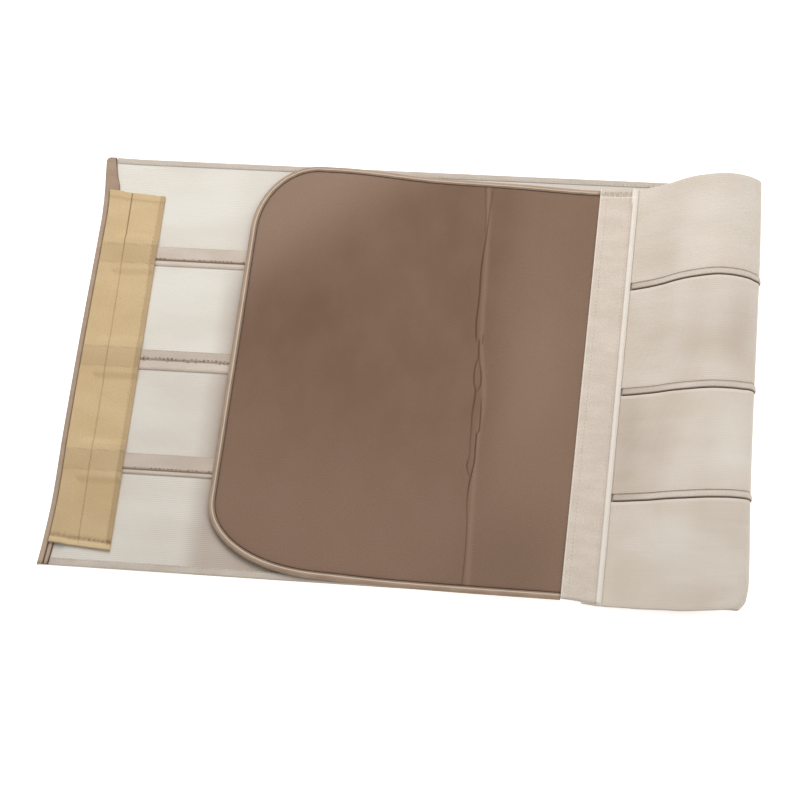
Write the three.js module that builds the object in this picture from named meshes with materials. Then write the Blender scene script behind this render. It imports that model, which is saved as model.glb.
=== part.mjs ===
// Abdominal binder: one band of four elastics, folded once and lying flat on its outer face.
// Millimetres. +X points along the band to the fold, +Y to the far edge and +Z up.
// Places across the band are counted from the middle of its height, far side positive.
import * as THREE from 'three';

// Driving sizes of the folded band
const binderHeight = 305;
const foldedLength = 444;
const humpRun = 84.3;
const joinTapeWidth = 25.5;
const joinLean = 2.4;
const panelLength = 231.3;

// Elastic bands, far to near, each with its share of binderHeight
const bands = [
  { name: 'elastic_band_1', share: 0.249 },
  { name: 'elastic_band_2', share: 0.259 },
  { name: 'elastic_band_3', share: 0.249 },
  { name: 'elastic_band_4', share: 0.243 },
];

// Cloth thicknesses and the clearance between pieces
const clearance = 0.3;
const elasticThickness = 1;
const tapeThickness = 1;
const joinTapeThickness = 1;
const panelThickness = 2.8;
const hookThickness = 1.2;

// Seams and hems
const ribWidth = 5;
const ribProud = 0.8;
const ribStartGap = 0.8;
const seamTapeWidth = 14.5;
const farHemWidth = 4;
const nearHemWidth = 5;

// Joining tape lip, along its right edge
const lipWidth = 3.5;
const lipProud = 0.5;
const lipSlope = 0.6;

// Hump and fold of the right end
const humpHeight = 18.8;
const foldRadius = 6.6;
const foldStartAngle = THREE.MathUtils.degToRad(50);
const foldSteps = 6;

// Loop panel, its rolled binding and its crease
const farCornerRun = 43;
const farCornerReach = 53;
const nearCornerRun = 76;
const nearCornerReach = 50;
const panelBindingWidth = 4.5;
const panelBindingRise = 0.5;
const panelCornerSteps = 6;
const creasePlace = 43.2;
const creaseHalfWidth = 2;
const creaseDepth = 0.8;
const creaseRidge = 0.35;
const creaseRidgeReach = 7;

// Left end: rolled binding, hook strip and the turned-out far corner
const endRollWidth = 2.6;
const endRollRise = 0.6;
const endRollRound = 1.2;
const endFlangeWidth = 5.2;
const endFlare = 5.5;
const cornerCurl = 0.8;
const cornerReach = 26;
const hookFarReach = 40.6;
const hookNearReach = 44.4;
const hookFarMargin = 26.5;
const hookNearMargin = 15;
const hookDrop = 3;
const hookCreasePlace = 17;
const hookCreaseLean = 2.8;
const hookCreaseHalfWidth = 1.5;
const hookCreaseDepth = 0.5;
const hookStepRun = 5.5;

// Rise of the front layer between the joining tape and the fold: along is a share of humpRun, lift of the
// hump's own height there
const humpRows = [
  { along: 0, lift: 0 },
  { along: 0.1, lift: 0.15 },
  { along: 0.2, lift: 0.33 },
  { along: 0.3, lift: 0.53 },
  { along: 0.4, lift: 0.75 },
  { along: 0.5, lift: 0.91 },
  { along: 0.6, lift: 0.985 },
  { along: 0.68, lift: 1 },
  { along: 0.76, lift: 0.955 },
  { along: 0.84, lift: 0.83 },
  { along: 0.91, lift: 0.65 },
];

// Hump and fold across the band: across is a share of half the height, lift of humpHeight, radius and
// reach of foldRadius
const acrossRows = [
  { across: -1, lift: 0.2, radius: 0.52, reach: -0.46 },
  { across: -0.967, lift: 0.23, radius: 0.54, reach: 0.08 },
  { across: -0.88, lift: 0.34, radius: 0.62, reach: 0.3 },
  { across: -0.52, lift: 0.64, radius: 0.86, reach: 0.1 },
  { across: -0.02, lift: 0.7, radius: 0.9, reach: 0 },
  { across: 0.5, lift: 1, radius: 1, reach: 0 },
  { across: 1, lift: 0.94, radius: 0.96, reach: -0.2 },
];

// Plan of the front layer: along is a share of its length from the loop panel's free end to the fold, far
// and near are the two edges as shares of half the height
const planRows = [
  { along: 0, far: 0.997, near: -0.994 },
  { along: 0.17, far: 0.993, near: -0.99 },
  { along: 0.36, far: 0.96, near: -1.007 },
  { along: 0.52, far: 0.949, near: -1.012 },
  { along: 0.68, far: 0.934, near: -1.014 },
  { along: 0.755, far: 0.943, near: -1.03 },
  { along: 0.88, far: 0.972, near: -1.036 },
  { along: 0.94, far: 0.986, near: -1.024 },
  { along: 1, far: 1, near: -1.004 },
];

// Left end across the band: flare is a share of endFlare, curl of cornerCurl and flange of endFlangeWidth
const endRows = [
  { across: -1, flare: 0.05, curl: 0, flange: 0.68 },
  { across: -0.9, flare: -0.15, curl: 0, flange: 0.75 },
  { across: -0.7, flare: -0.35, curl: 0, flange: 1 },
  { across: -0.38, flare: -0.15, curl: 0, flange: 1 },
  { across: 0.1, flare: 0, curl: 0, flange: 1 },
  { across: 0.68, flare: 0.04, curl: 0, flange: 1 },
  { across: 0.83, flare: 0.3, curl: 0.1, flange: 1.35 },
  { across: 0.915, flare: 0.56, curl: 0.4, flange: 0.95 },
  { across: 1, flare: 0.78, curl: 1, flange: 0.65 },
];

// Line of the panel's crease: across is a share of half the height, shift of creaseRidgeReach
const creaseRows = [
  { across: -1, shift: 0.85 },
  { across: -0.3, shift: 0.45 },
  { across: -0.12, shift: 0.65 },
  { across: 0.2, shift: -0.15 },
  { across: 0.72, shift: -0.55 },
  { across: 1, shift: -1 },
];

// Worked-out places along the band
const foldX = foldedLength / 2;
const leftX = -foldedLength / 2;
const joinRight = foldX - humpRun;
const joinLeft = joinRight - joinTapeWidth;
const joinMiddle = (joinLeft + joinRight) / 2;
const panelLeft = joinLeft - panelLength;
const frontLength = foldX - panelLeft;

// Worked-out places across the band
const halfHeight = binderHeight / 2;
const hookFarEnd = halfHeight - hookFarMargin;
const hookNearEnd = hookNearMargin - halfHeight;
const seams = [];
bands.slice(0, -1).reduce((edge, band) => {
  const seam = edge - band.share * binderHeight;
  seams.push(seam);
  return seam;
}, halfHeight);

// Heights of the layers, counted from the surface that the band lies on
const backMiddle = ribProud + elasticThickness / 2;
const innerFace = -elasticThickness / 2;
const outerFace = elasticThickness / 2;
const tapeNear = innerFace - clearance;
const tapeFar = tapeNear - tapeThickness;
const backTapeTop = backMiddle - tapeFar;
const frontMiddle = backTapeTop + clearance + panelThickness - outerFace;

// Smooth reading of a table, which never overshoots its rows: the column's value at a place given by the
// key column
function read(rows, key, column, place) {
  const last = rows.length - 1;
  if (place <= rows[0][key]) return rows[0][column];
  if (place >= rows[last][key]) return rows[last][column];
  const rise = (i) => (rows[i + 1][column] - rows[i][column]) / (rows[i + 1][key] - rows[i][key]);
  const slope = (i) => {
    if (i === 0) return rise(0);
    if (i === last) return rise(last - 1);
    const before = rise(i - 1);
    const after = rise(i);
    return before * after > 0 ? 2 * before * after / (before + after) : 0;
  };
  const index = rows.findIndex((row) => row[key] > place) - 1;
  const run = rows[index + 1][key] - rows[index][key];
  const t = (place - rows[index][key]) / run;
  const start = (1 + 2 * t) * (1 - t) ** 2;
  const leave = t * (1 - t) ** 2;
  const end = t * t * (3 - 2 * t);
  const arrive = t * t * (t - 1);
  return start * rows[index][column] + leave * run * slope(index)
    + end * rows[index + 1][column] + arrive * run * slope(index + 1);
}

// Plan place across the front layer at x, for a place across the flat band
function frontAcross(x, across) {
  const along = (x - panelLeft) / frontLength;
  const far = read(planRows, 'along', 'far', along) * halfHeight;
  const near = read(planRows, 'along', 'near', along) * halfHeight;
  return THREE.MathUtils.mapLinear(across, -halfHeight, halfHeight, near, far);
}

// Lean of the joining tape at a place across the band
function lean(across) {
  return joinLean * across / halfHeight;
}

// How far the left end stands out at a share of half the height, and where a strip of cloth meets the
// binding's flange there
function endFlareAt(share) {
  return endFlare * read(endRows, 'across', 'flare', share);
}

function flangeEdgeAt(share) {
  return leftX + endRollWidth + endFlangeWidth * read(endRows, 'across', 'flange', share);
}

const widestFlange = endFlangeWidth * Math.max(...endRows.map((row) => row.flange));
const bindingZone = endRollWidth + widestFlange;

// Stations along the band, from its end under the joining tape round the fold to its left end. Each gives
// the middle of the cloth in its upright section at a place across the band, and at the round fold the
// outward direction too.
const stations = [];

function addStation(name, place) {
  stations.push({ name, place });
}

function joinStation(name, x) {
  addStation(name, (across) => ({ x: x + lean(across), y: frontAcross(x, across), z: frontMiddle }));
}

function humpStation(row) {
  addStation('hump', (across) => {
    const share = across / halfHeight;
    const start = joinRight + lean(across);
    const reach = foldX + read(acrossRows, 'across', 'reach', share) * foldRadius;
    const x = THREE.MathUtils.lerp(start, reach, row.along);
    const height = humpHeight * read(acrossRows, 'across', 'lift', share);
    return { x, y: frontAcross(x, across), z: frontMiddle + height * row.lift };
  });
}

function foldStation(name, angle, past) {
  addStation(name, (across) => {
    const share = across / halfHeight;
    const radius = foldRadius * read(acrossRows, 'across', 'radius', share);
    const reach = foldX + read(acrossRows, 'across', 'reach', share) * foldRadius;
    const x = reach - radius + radius * Math.cos(angle) - past;
    const z = backMiddle + radius + radius * Math.sin(angle);
    const turned = (foldStartAngle - angle) / (foldStartAngle + Math.PI / 2);
    const y = THREE.MathUtils.lerp(frontAcross(x, across), across, turned);
    return { x, y, z, outX: Math.cos(angle), outZ: Math.sin(angle) };
  });
}

function backStation(name, x) {
  addStation(name, (across) => {
    const share = across / halfHeight;
    const towardsEnd = THREE.MathUtils.clamp((leftX + cornerReach - x) / (cornerReach - bindingZone), 0, 1);
    const flare = endFlareAt(share) * towardsEnd;
    const curl = cornerCurl * read(endRows, 'across', 'curl', share) * towardsEnd ** 2;
    return { x: x - flare, y: across, z: backMiddle + curl };
  });
}

const seamTapeEndX = leftX + endRollWidth + endFlangeWidth + clearance;
const backFoldX = foldX - foldRadius * (1 + Math.abs(acrossRows[0].reach));

joinStation('front_end', joinMiddle + clearance / 2);
joinStation('tape_edge', joinRight);
joinStation('rib_start', joinRight + ribStartGap);
humpRows.slice(1).forEach(humpStation);
for (let step = 0; step < foldSteps; step += 1) {
  foldStation('fold', THREE.MathUtils.lerp(foldStartAngle, -Math.PI / 2, step / foldSteps), 0);
}
foldStation('fold_bottom', -Math.PI / 2, 0);
foldStation('back_start', -Math.PI / 2, clearance);
backStation('back', backFoldX - foldRadius);
backStation('back', leftX + cornerReach);
backStation('back', leftX + (cornerReach + bindingZone) / 2);
backStation('back', leftX + bindingZone);
backStation('seam_tape_end', seamTapeEndX);
backStation('far_hem_end', flangeEdgeAt(1 - farHemWidth / halfHeight) + clearance);
backStation('near_hem_end', flangeEdgeAt(nearHemWidth / halfHeight - 1) + clearance);
backStation('band_end', leftX);

// Section through the band at a place across it: middle points and their outward directions
function section(across) {
  const points = stations.map((station) => station.place(across));
  return points.map((point, i) => {
    const before = points[Math.max(i - 1, 0)];
    const after = points[Math.min(i + 1, points.length - 1)];
    const length = Math.hypot(after.x - before.x, after.z - before.z);
    return { outX: -(after.z - before.z) / length, outZ: (after.x - before.x) / length, ...point };
  });
}

function stationIndex(name) {
  return stations.findIndex((station) => station.name === name);
}

// Closed body between two equal grids of points, outer[i][j] and inner[i][j]
function bodyBetween(outer, inner) {
  const rows = outer.length;
  const columns = outer[0].length;
  const points = [...outer.flat(), ...inner.flat()];
  const top = (i, j) => i * columns + j;
  const low = (i, j) => rows * columns + top(i, j);
  const triangles = [];
  const wall = (a, b, c, d) => triangles.push(a, b, c, a, c, d);
  for (let i = 0; i < rows - 1; i += 1) {
    for (let j = 0; j < columns - 1; j += 1) {
      wall(top(i, j), top(i + 1, j), top(i + 1, j + 1), top(i, j + 1));
      triangles.push(low(i, j), low(i + 1, j + 1), low(i + 1, j));
      triangles.push(low(i, j), low(i, j + 1), low(i + 1, j + 1));
    }
    wall(low(i, 0), low(i + 1, 0), top(i + 1, 0), top(i, 0));
    wall(top(i, columns - 1), top(i + 1, columns - 1), low(i + 1, columns - 1), low(i, columns - 1));
  }
  for (let j = 0; j < columns - 1; j += 1) {
    wall(top(0, j), top(0, j + 1), low(0, j + 1), low(0, j));
    wall(low(rows - 1, j), low(rows - 1, j + 1), top(rows - 1, j + 1), top(rows - 1, j));
  }
  return closedGeometry(points, triangles);
}

// Geometry from points and triangles, turned so that its faces point out
function closedGeometry(points, triangles) {
  const volume = new THREE.Vector3();
  let signed = 0;
  for (let i = 0; i < triangles.length; i += 3) {
    const [a, b, c] = triangles.slice(i, i + 3).map((index) => points[index]);
    signed += a.dot(volume.crossVectors(b, c));
  }
  const facing = signed < 0 ? triangles.slice().reverse() : triangles;
  const geometry = new THREE.BufferGeometry().setFromPoints(points);
  geometry.setIndex(facing);
  geometry.computeVertexNormals();
  return geometry;
}

// Layer of cloth that follows the band from one station to another. Lines are places across the band, and
// the layer lies between two distances from the middle of the cloth, outward positive.
function layer(from, to, lines, outerOffset, innerOffset) {
  const grid = (offset) => {
    const columns = lines.map((across) => section(across).slice(from, to + 1));
    return columns[0].map((_, i) => columns.map((column) => {
      const { x, y, z, outX, outZ } = column[i];
      return new THREE.Vector3(x + outX * offset, y, z + outZ * offset);
    }));
  };
  return bodyBetween(grid(outerOffset), grid(innerOffset));
}

// Lines across the band that all layers share, so that stacked layers keep their clearance
const hemLines = [-halfHeight, -halfHeight + nearHemWidth, halfHeight - farHemWidth, halfHeight];
const seamLines = seams.flatMap((seam) => {
  const slot = ribWidth / 2 + clearance;
  return [seam - seamTapeWidth / 2, seam - slot, seam + slot, seam + seamTapeWidth / 2];
});
const middleLines = bands.map((band, i) => {
  const farEdge = i === 0 ? halfHeight : seams[i - 1];
  return farEdge - band.share * binderHeight / 2;
});
const shapeLines = [acrossRows[2], ...endRows.slice(1, -1)].map((row) => row.across * halfHeight);
const sharedLines = [...hemLines, ...seamLines, ...middleLines, ...shapeLines].sort((a, b) => a - b);

function linesWithin(low, high) {
  const tolerance = clearance / 10;
  return sharedLines.filter((line) => line > low - tolerance && line < high + tolerance);
}

// Plain colours of the cloths
const colours = {
  elastic: 0xd9cec2,
  seam: 0xc4b5a6,
  hem: 0xb9aa9b,
  binding: 0xa08872,
  hook: 0xcdb188,
  loop: 0x866c5b,
  panelBinding: 0xb59a7e,
  joinTape: 0xd8cec2,
};

const binder = new THREE.Group();

function addPiece(name, geometry, colour, roughness) {
  const material = new THREE.MeshStandardMaterial({ color: colour, roughness, metalness: 0 });
  const mesh = new THREE.Mesh(geometry, material);
  mesh.name = name;
  binder.add(mesh);
}

// Layer that is cut into a front and a back length under the fold, so that each is a simple form
function addCutLayer(name, start, lines, outerOffset, innerOffset, colour) {
  const from = stationIndex(start);
  const foldBottom = stationIndex('fold_bottom');
  const backStart = stationIndex('back_start');
  const end = stationIndex('band_end');
  const front = layer(from, foldBottom, lines, outerOffset, innerOffset);
  const back = layer(backStart, end, lines, outerOffset, innerOffset);
  addPiece(`${name}_front`, front, colour, 0.85);
  addPiece(`${name}_back`, back, colour, 0.85);
}

// Elastic bands
function addBands() {
  const slot = ribWidth / 2 + clearance;
  bands.forEach((band, i) => {
    const high = i === 0 ? halfHeight : seams[i - 1] - slot;
    const low = i === bands.length - 1 ? -halfHeight : seams[i] + slot;
    addCutLayer(band.name, 'front_end', linesWithin(low, high), outerFace, innerFace, colours.elastic);
  });
}

// Raised seams between the bands, and the tapes over them on the inner face
function addSeams() {
  const tapeStart = stationIndex('front_end');
  const tapeEnd = stationIndex('seam_tape_end');
  seams.forEach((seam, i) => {
    const ribLines = [seam - ribWidth / 2, seam + ribWidth / 2];
    addCutLayer(`seam_rib_${i + 1}`, 'rib_start', ribLines, outerFace + ribProud, innerFace, colours.seam);
    const tapeLines = linesWithin(seam - seamTapeWidth / 2, seam + seamTapeWidth / 2);
    const tape = layer(tapeStart, tapeEnd, tapeLines, tapeNear, tapeFar);
    addPiece(`seam_tape_${i + 1}`, tape, colours.seam, 0.85);
  });
}

// Turned hems along the far and near edges, on the inner face
function addHems() {
  const from = stationIndex('front_end');
  const farEnd = stationIndex('far_hem_end');
  const nearEnd = stationIndex('near_hem_end');
  const farLines = linesWithin(halfHeight - farHemWidth, halfHeight);
  const nearLines = linesWithin(-halfHeight, -halfHeight + nearHemWidth);
  addPiece('hem_far', layer(from, farEnd, farLines, tapeNear, tapeFar), colours.hem, 0.85);
  addPiece('hem_near', layer(from, nearEnd, nearLines, tapeNear, tapeFar), colours.hem, 0.85);
}

// Body swept through a list of sections, each a list of outer points and an equal list of inner points
function bodyThrough(sections) {
  return bodyBetween(sections.map((one) => one.outer), sections.map((one) => one.inner));
}

// Rolled binding on the left end: an inner flange, a raised roll and a wall down over the cut edge
function addEndBinding() {
  const face = elasticThickness / 2 + clearance;
  const wallIn = clearance;
  const wallOut = clearance + tapeThickness;
  const outerShape = [
    { inward: endRollWidth, flange: 1, up: face + tapeThickness },
    { inward: endRollWidth, flange: 0, up: face + tapeThickness },
    { inward: endRollWidth - endRollRise, flange: 0, up: face + tapeThickness + endRollRise },
    { inward: endRollRise - wallIn, flange: 0, up: face + tapeThickness + endRollRise },
    { inward: -wallOut, flange: 0, up: face + tapeThickness + endRollRise - endRollRound },
    { inward: -wallOut, flange: 0, up: -elasticThickness / 2 },
  ];
  const innerShape = [
    { inward: endRollWidth, flange: 1, up: face },
    { inward: endRollWidth, flange: 0, up: face },
    { inward: endRollWidth - endRollRise, flange: 0, up: face },
    { inward: -wallIn, flange: 0, up: face },
    { inward: -wallIn, flange: 0, up: 0 },
    { inward: -wallIn, flange: 0, up: -elasticThickness / 2 },
  ];
  const end = stations[stationIndex('band_end')];
  const place = (across, { inward, flange, up }) => {
    const at = end.place(across);
    const flangeWidth = endFlangeWidth * read(endRows, 'across', 'flange', across / halfHeight);
    return new THREE.Vector3(at.x + inward + flange * flangeWidth, at.y, at.z + up);
  };
  const sections = linesWithin(-halfHeight, halfHeight).map((across) => ({
    outer: outerShape.map((point) => place(across, point)),
    inner: innerShape.map((point) => place(across, point)),
  }));
  addPiece('end_binding', bodyThrough(sections), colours.binding, 0.85);
}

// Hook strip: lies on the bands, and steps over the seam tapes and the binding's flange
function addHookStrip() {
  const onBands = backMiddle + elasticThickness / 2 + clearance;
  const onTapes = backTapeTop + clearance;
  const margin = hookDrop + 1;
  const lines = [hookNearEnd, hookFarEnd];
  seams.forEach((seam) => {
    const reach = seamTapeWidth / 2 + margin;
    lines.push(seam - reach - hookStepRun, seam - reach, seam + reach, seam + reach + hookStepRun);
  });
  lines.sort((a, b) => a - b);
  const overTape = (across) => seams.some((seam) => Math.abs(across - seam) < seamTapeWidth / 2 + margin + 1);
  const overFlange = widestFlange + 2 * clearance;
  const outer = [];
  const inner = [];
  lines.forEach((across) => {
    const share = (across - hookNearEnd) / (hookFarEnd - hookNearEnd);
    const left = leftX - endFlareAt(across / halfHeight) + endRollWidth + clearance;
    const width = leftX + THREE.MathUtils.lerp(hookNearReach, hookFarReach, share) - left;
    const crease = hookCreasePlace + THREE.MathUtils.lerp(hookCreaseLean, -hookCreaseLean, share);
    const columns = [
      { inward: 0, lifted: true, groove: 0 },
      { inward: overFlange, lifted: true, groove: 0 },
      { inward: overFlange + hookStepRun, lifted: false, groove: 0 },
      { inward: crease - hookCreaseHalfWidth, lifted: false, groove: 0 },
      { inward: crease, lifted: false, groove: hookCreaseDepth },
      { inward: crease + hookCreaseHalfWidth, lifted: false, groove: 0 },
      { inward: width, lifted: false, groove: 0 },
    ];
    const point = (column, above) => {
      const base = column.lifted || overTape(across) ? onTapes : onBands;
      const y = across - hookDrop * column.inward / width;
      return new THREE.Vector3(left + column.inward, y, base + above);
    };
    outer.push(columns.map((column) => point(column, hookThickness - column.groove)));
    inner.push(columns.map((column) => point(column, 0)));
  });
  addPiece('hook_strip', bodyBetween(outer, inner), colours.hook, 0.7);
}

// The loop panel's free corners are quarter ellipses: run is their length along the band, reach their height
const panelInset = panelBindingWidth + clearance;
const farCorner = { side: 1, run: farCornerRun, reach: farCornerReach };
const nearCorner = { side: -1, run: nearCornerRun, reach: nearCornerReach };

// Step of a corner, from the panel's free end to its long side: a place on the outer line and its outward
// direction
function cornerStep({ side, run, reach }, step) {
  const turn = (Math.PI / 2) * (step / panelCornerSteps);
  const out = new THREE.Vector2(-Math.cos(turn) / run, Math.sin(turn) / reach).normalize();
  const x = panelLeft + run * (1 - Math.cos(turn));
  const across = side * (halfHeight - reach * (1 - Math.sin(turn)));
  return { x, across, outX: out.x, outY: side * out.y };
}

// Columns of the loop panel from its free end to the joint: those of its corners, and those of its crease,
// which shift with the crease's line. Each has a place on the near and on the far outer line.
const creaseProfile = [
  { from: -creaseRidgeReach, rise: 0 },
  { from: -creaseHalfWidth, rise: creaseRidge },
  { from: 0, rise: -creaseDepth },
  { from: creaseHalfWidth, rise: creaseRidge },
  { from: creaseRidgeReach, rise: 0 },
];

function sidePlace(side, x) {
  return { x, across: side * halfHeight, outX: 0, outY: side };
}

function sideColumn(nearX, farX, more = {}) {
  return { near: sidePlace(-1, nearX), far: sidePlace(1, farX), leans: 0, shifts: 0, rise: 0, ...more };
}

function cornerColumns() {
  return Array.from({ length: panelCornerSteps + 1 }, (_, step) => {
    const places = { near: cornerStep(nearCorner, step), far: cornerStep(farCorner, step) };
    return { ...places, leans: 0, shifts: 0, rise: 0 };
  });
}

function sideColumns() {
  const creaseStart = creasePlace - creaseRidgeReach;
  const columns = [1 / 3, 2 / 3].map((share) => {
    const nearX = THREE.MathUtils.lerp(panelLeft + nearCornerRun, creaseStart, share);
    return sideColumn(nearX, THREE.MathUtils.lerp(panelLeft + farCornerRun, creaseStart, share));
  });
  creaseProfile.forEach(({ from, rise }) => {
    const x = creasePlace + from;
    columns.push(sideColumn(x, x, { shifts: creaseRidgeReach, rise }));
  });
  const afterCrease = (creasePlace + creaseRidgeReach + joinLeft) / 2;
  columns.push(sideColumn(afterCrease, afterCrease));
  return columns;
}

// Place of a column's point in from the outer line, before the plan of the front layer
function insetPlace(place, inward) {
  return { x: place.x - place.outX * inward, across: place.across - place.outY * inward };
}

function columnX(column, x, across) {
  const shift = column.shifts * read(creaseRows, 'across', 'shift', across / halfHeight);
  return x + column.leans * lean(across) + shift;
}

// Loop panel: padded sheet with rounded free corners and an upright crease
function addLoopPanel() {
  const top = frontMiddle + outerFace;
  const bottom = top - panelThickness;
  const endX = joinMiddle - clearance / 2;
  const columns = [...cornerColumns(), ...sideColumns()];
  columns.push(sideColumn(joinLeft, joinLeft, { leans: 1 }));
  columns.push(sideColumn(endX, endX, { leans: 1 }));
  const rows = creaseRows.length * 2 - 1;
  const grid = (withRise) => columns.map((column) => {
    const near = insetPlace(column.near, panelInset);
    const far = insetPlace(column.far, panelInset);
    const points = [];
    for (let row = 0; row < rows; row += 1) {
      const share = row / (rows - 1);
      const across = THREE.MathUtils.lerp(near.across, far.across, share);
      const x = columnX(column, THREE.MathUtils.lerp(near.x, far.x, share), across);
      const z = withRise ? top + column.rise : bottom;
      points.push(new THREE.Vector3(x, frontAcross(x, across), z));
    }
    return points;
  });
  addPiece('loop_panel', bodyBetween(grid(true), grid(false)), colours.loop, 0.95);
}

// Rolled binding round the free end and the two long sides of the loop panel
function addPanelBinding() {
  const end = joinLeft - clearance;
  const columns = [...cornerColumns(), ...sideColumns(), sideColumn(end, end, { leans: 1 })];
  const farLine = columns.map((column) => ({ column, start: column.far })).reverse();
  const nearLine = columns.map((column) => ({ column, start: column.near }));
  const top = frontMiddle + outerFace + panelBindingRise;
  const bottom = frontMiddle + outerFace - panelThickness;
  const chamfer = panelBindingWidth / 4;
  const profileTop = [
    { inward: 0, z: (top + bottom) / 2 },
    { inward: chamfer / 2, z: top - chamfer / 2 },
    { inward: panelBindingWidth / 2, z: top },
    { inward: panelBindingWidth - chamfer / 2, z: top - chamfer / 2 },
    { inward: panelBindingWidth, z: (top + bottom) / 2 },
  ];
  const profileLow = [
    { inward: chamfer / 4, z: bottom + chamfer },
    { inward: chamfer, z: bottom },
    { inward: panelBindingWidth / 2, z: bottom },
    { inward: panelBindingWidth - chamfer, z: bottom },
    { inward: panelBindingWidth - chamfer / 4, z: bottom + chamfer },
  ];
  const place = ({ column, start }, { inward, z }) => {
    const { x: plainX, across } = insetPlace(start, inward);
    const x = columnX(column, plainX, across);
    return new THREE.Vector3(x, frontAcross(x, across), z);
  };
  const sections = [...farLine, ...nearLine].map((at) => ({
    outer: profileTop.map((point) => place(at, point)),
    inner: profileLow.map((point) => place(at, point)),
  }));
  addPiece('panel_binding', bodyThrough(sections), colours.panelBinding, 0.9);
}

// Joining tape over the joint of loop panel and bands, with a folded lip along its right edge
function addJoiningTape() {
  const bottom = frontMiddle + outerFace + clearance;
  const flat = bottom + joinTapeThickness;
  const columns = [
    { x: joinLeft, z: flat },
    { x: joinRight - lipWidth - lipSlope, z: flat },
    { x: joinRight - lipWidth, z: flat + lipProud },
    { x: joinRight, z: flat + lipProud },
  ];
  const lines = [-halfHeight, ...middleLines.slice().reverse(), halfHeight];
  const grid = (withLip) => columns.map((column) => lines.map((across) => {
    const x = column.x + lean(across);
    return new THREE.Vector3(x, frontAcross(column.x, across), withLip ? column.z : bottom);
  }));
  addPiece('joining_tape', bodyBetween(grid(true), grid(false)), colours.joinTape, 0.85);
}

addBands();
addSeams();
addHems();
addEndBinding();
addHookStrip();
addLoopPanel();
addPanelBinding();
addJoiningTape();

// The origin is the middle of the footprint, on the surface that the band lies on
const extent = new THREE.Box3().setFromObject(binder);
const centre = extent.getCenter(new THREE.Vector3());
binder.position.set(-centre.x, -centre.y, -extent.min.z);

export default binder;
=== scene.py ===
# Looks of the abdominal binder: one band of four elastics, folded once, with its seams, bindings and tapes.
# Metres. +X points along the band to the fold, +Y to the far edge and +Z up.
import math
import random

import bmesh
import bpy
import numpy as np
from mathutils import Matrix, Vector


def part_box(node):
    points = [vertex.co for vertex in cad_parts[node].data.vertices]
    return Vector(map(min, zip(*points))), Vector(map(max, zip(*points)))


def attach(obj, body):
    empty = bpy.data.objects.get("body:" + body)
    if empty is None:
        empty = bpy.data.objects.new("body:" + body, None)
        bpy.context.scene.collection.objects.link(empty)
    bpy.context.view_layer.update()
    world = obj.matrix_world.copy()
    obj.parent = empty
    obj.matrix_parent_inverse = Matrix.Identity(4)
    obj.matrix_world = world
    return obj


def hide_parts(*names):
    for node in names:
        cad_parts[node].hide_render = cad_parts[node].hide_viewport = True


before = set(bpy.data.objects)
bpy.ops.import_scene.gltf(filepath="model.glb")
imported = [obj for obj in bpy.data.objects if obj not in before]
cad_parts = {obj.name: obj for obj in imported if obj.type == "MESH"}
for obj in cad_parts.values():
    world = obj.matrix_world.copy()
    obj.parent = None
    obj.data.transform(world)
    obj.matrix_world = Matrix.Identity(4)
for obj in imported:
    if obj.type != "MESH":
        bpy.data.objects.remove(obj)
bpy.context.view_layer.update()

MM = 0.001
SMALLEST = 1e-9

# Sizes of the folded band
FOLDED_LENGTH = 444 * MM
HUMP_RUN = 84.3 * MM
JOIN_TAPE_WIDTH = 25.5 * MM
JOIN_LEAN = 2.4 * MM
PANEL_LENGTH = 231.3 * MM
BAND_SHARES = (0.249, 0.259, 0.249, 0.243)

# Cloth thicknesses and the clearance between pieces
CLEARANCE = 0.3 * MM
ELASTIC_THICKNESS = 1 * MM
TAPE_THICKNESS = 1 * MM
JOIN_TAPE_THICKNESS = 1 * MM
PANEL_THICKNESS = 2.8 * MM
HOOK_THICKNESS = 1.2 * MM

# Seams and hems
RIB_WIDTH = 5 * MM
RIB_PROUD = 0.8 * MM
SEAM_TAPE_WIDTH = 14.5 * MM
FAR_HEM_WIDTH = 4 * MM
NEAR_HEM_WIDTH = 5 * MM
TAPE_GROOVE_DEPTH = 0.7 * MM
TAPE_GROOVE_WIDTH = 0.7 * MM
TAPE_FLANGE_DROP = 0.3 * MM

# Joining tape
LIP_WIDTH = 3.5 * MM
LIP_PROUD = 0.5 * MM
JOIN_END_FOLD = 4.2 * MM
JOIN_END_RISE = 0.3 * MM
JOIN_STITCH_INSET = 4.6 * MM

# Hump and fold of the right end
HUMP_HEIGHT = 18.8 * MM
FOLD_RADIUS = 6.6 * MM
FOLD_START = math.radians(50)

# Loop panel, its rolled binding and its crease
FAR_CORNER_RUN = 43 * MM
FAR_CORNER_REACH = 53 * MM
NEAR_CORNER_RUN = 76 * MM
NEAR_CORNER_REACH = 50 * MM
PANEL_BINDING_WIDTH = 4.5 * MM
PANEL_BINDING_RISE = 0.5 * MM
CREASE_PLACE = 43.2 * MM
CREASE_REACH = 7 * MM
CREASE_FADE = 34 * MM
CREASE_DEPTH = 0.6 * MM
CREASE_LINE_WIDTH = 0.42 * MM
CREASE_RIDGE = 0.35 * MM

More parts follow.
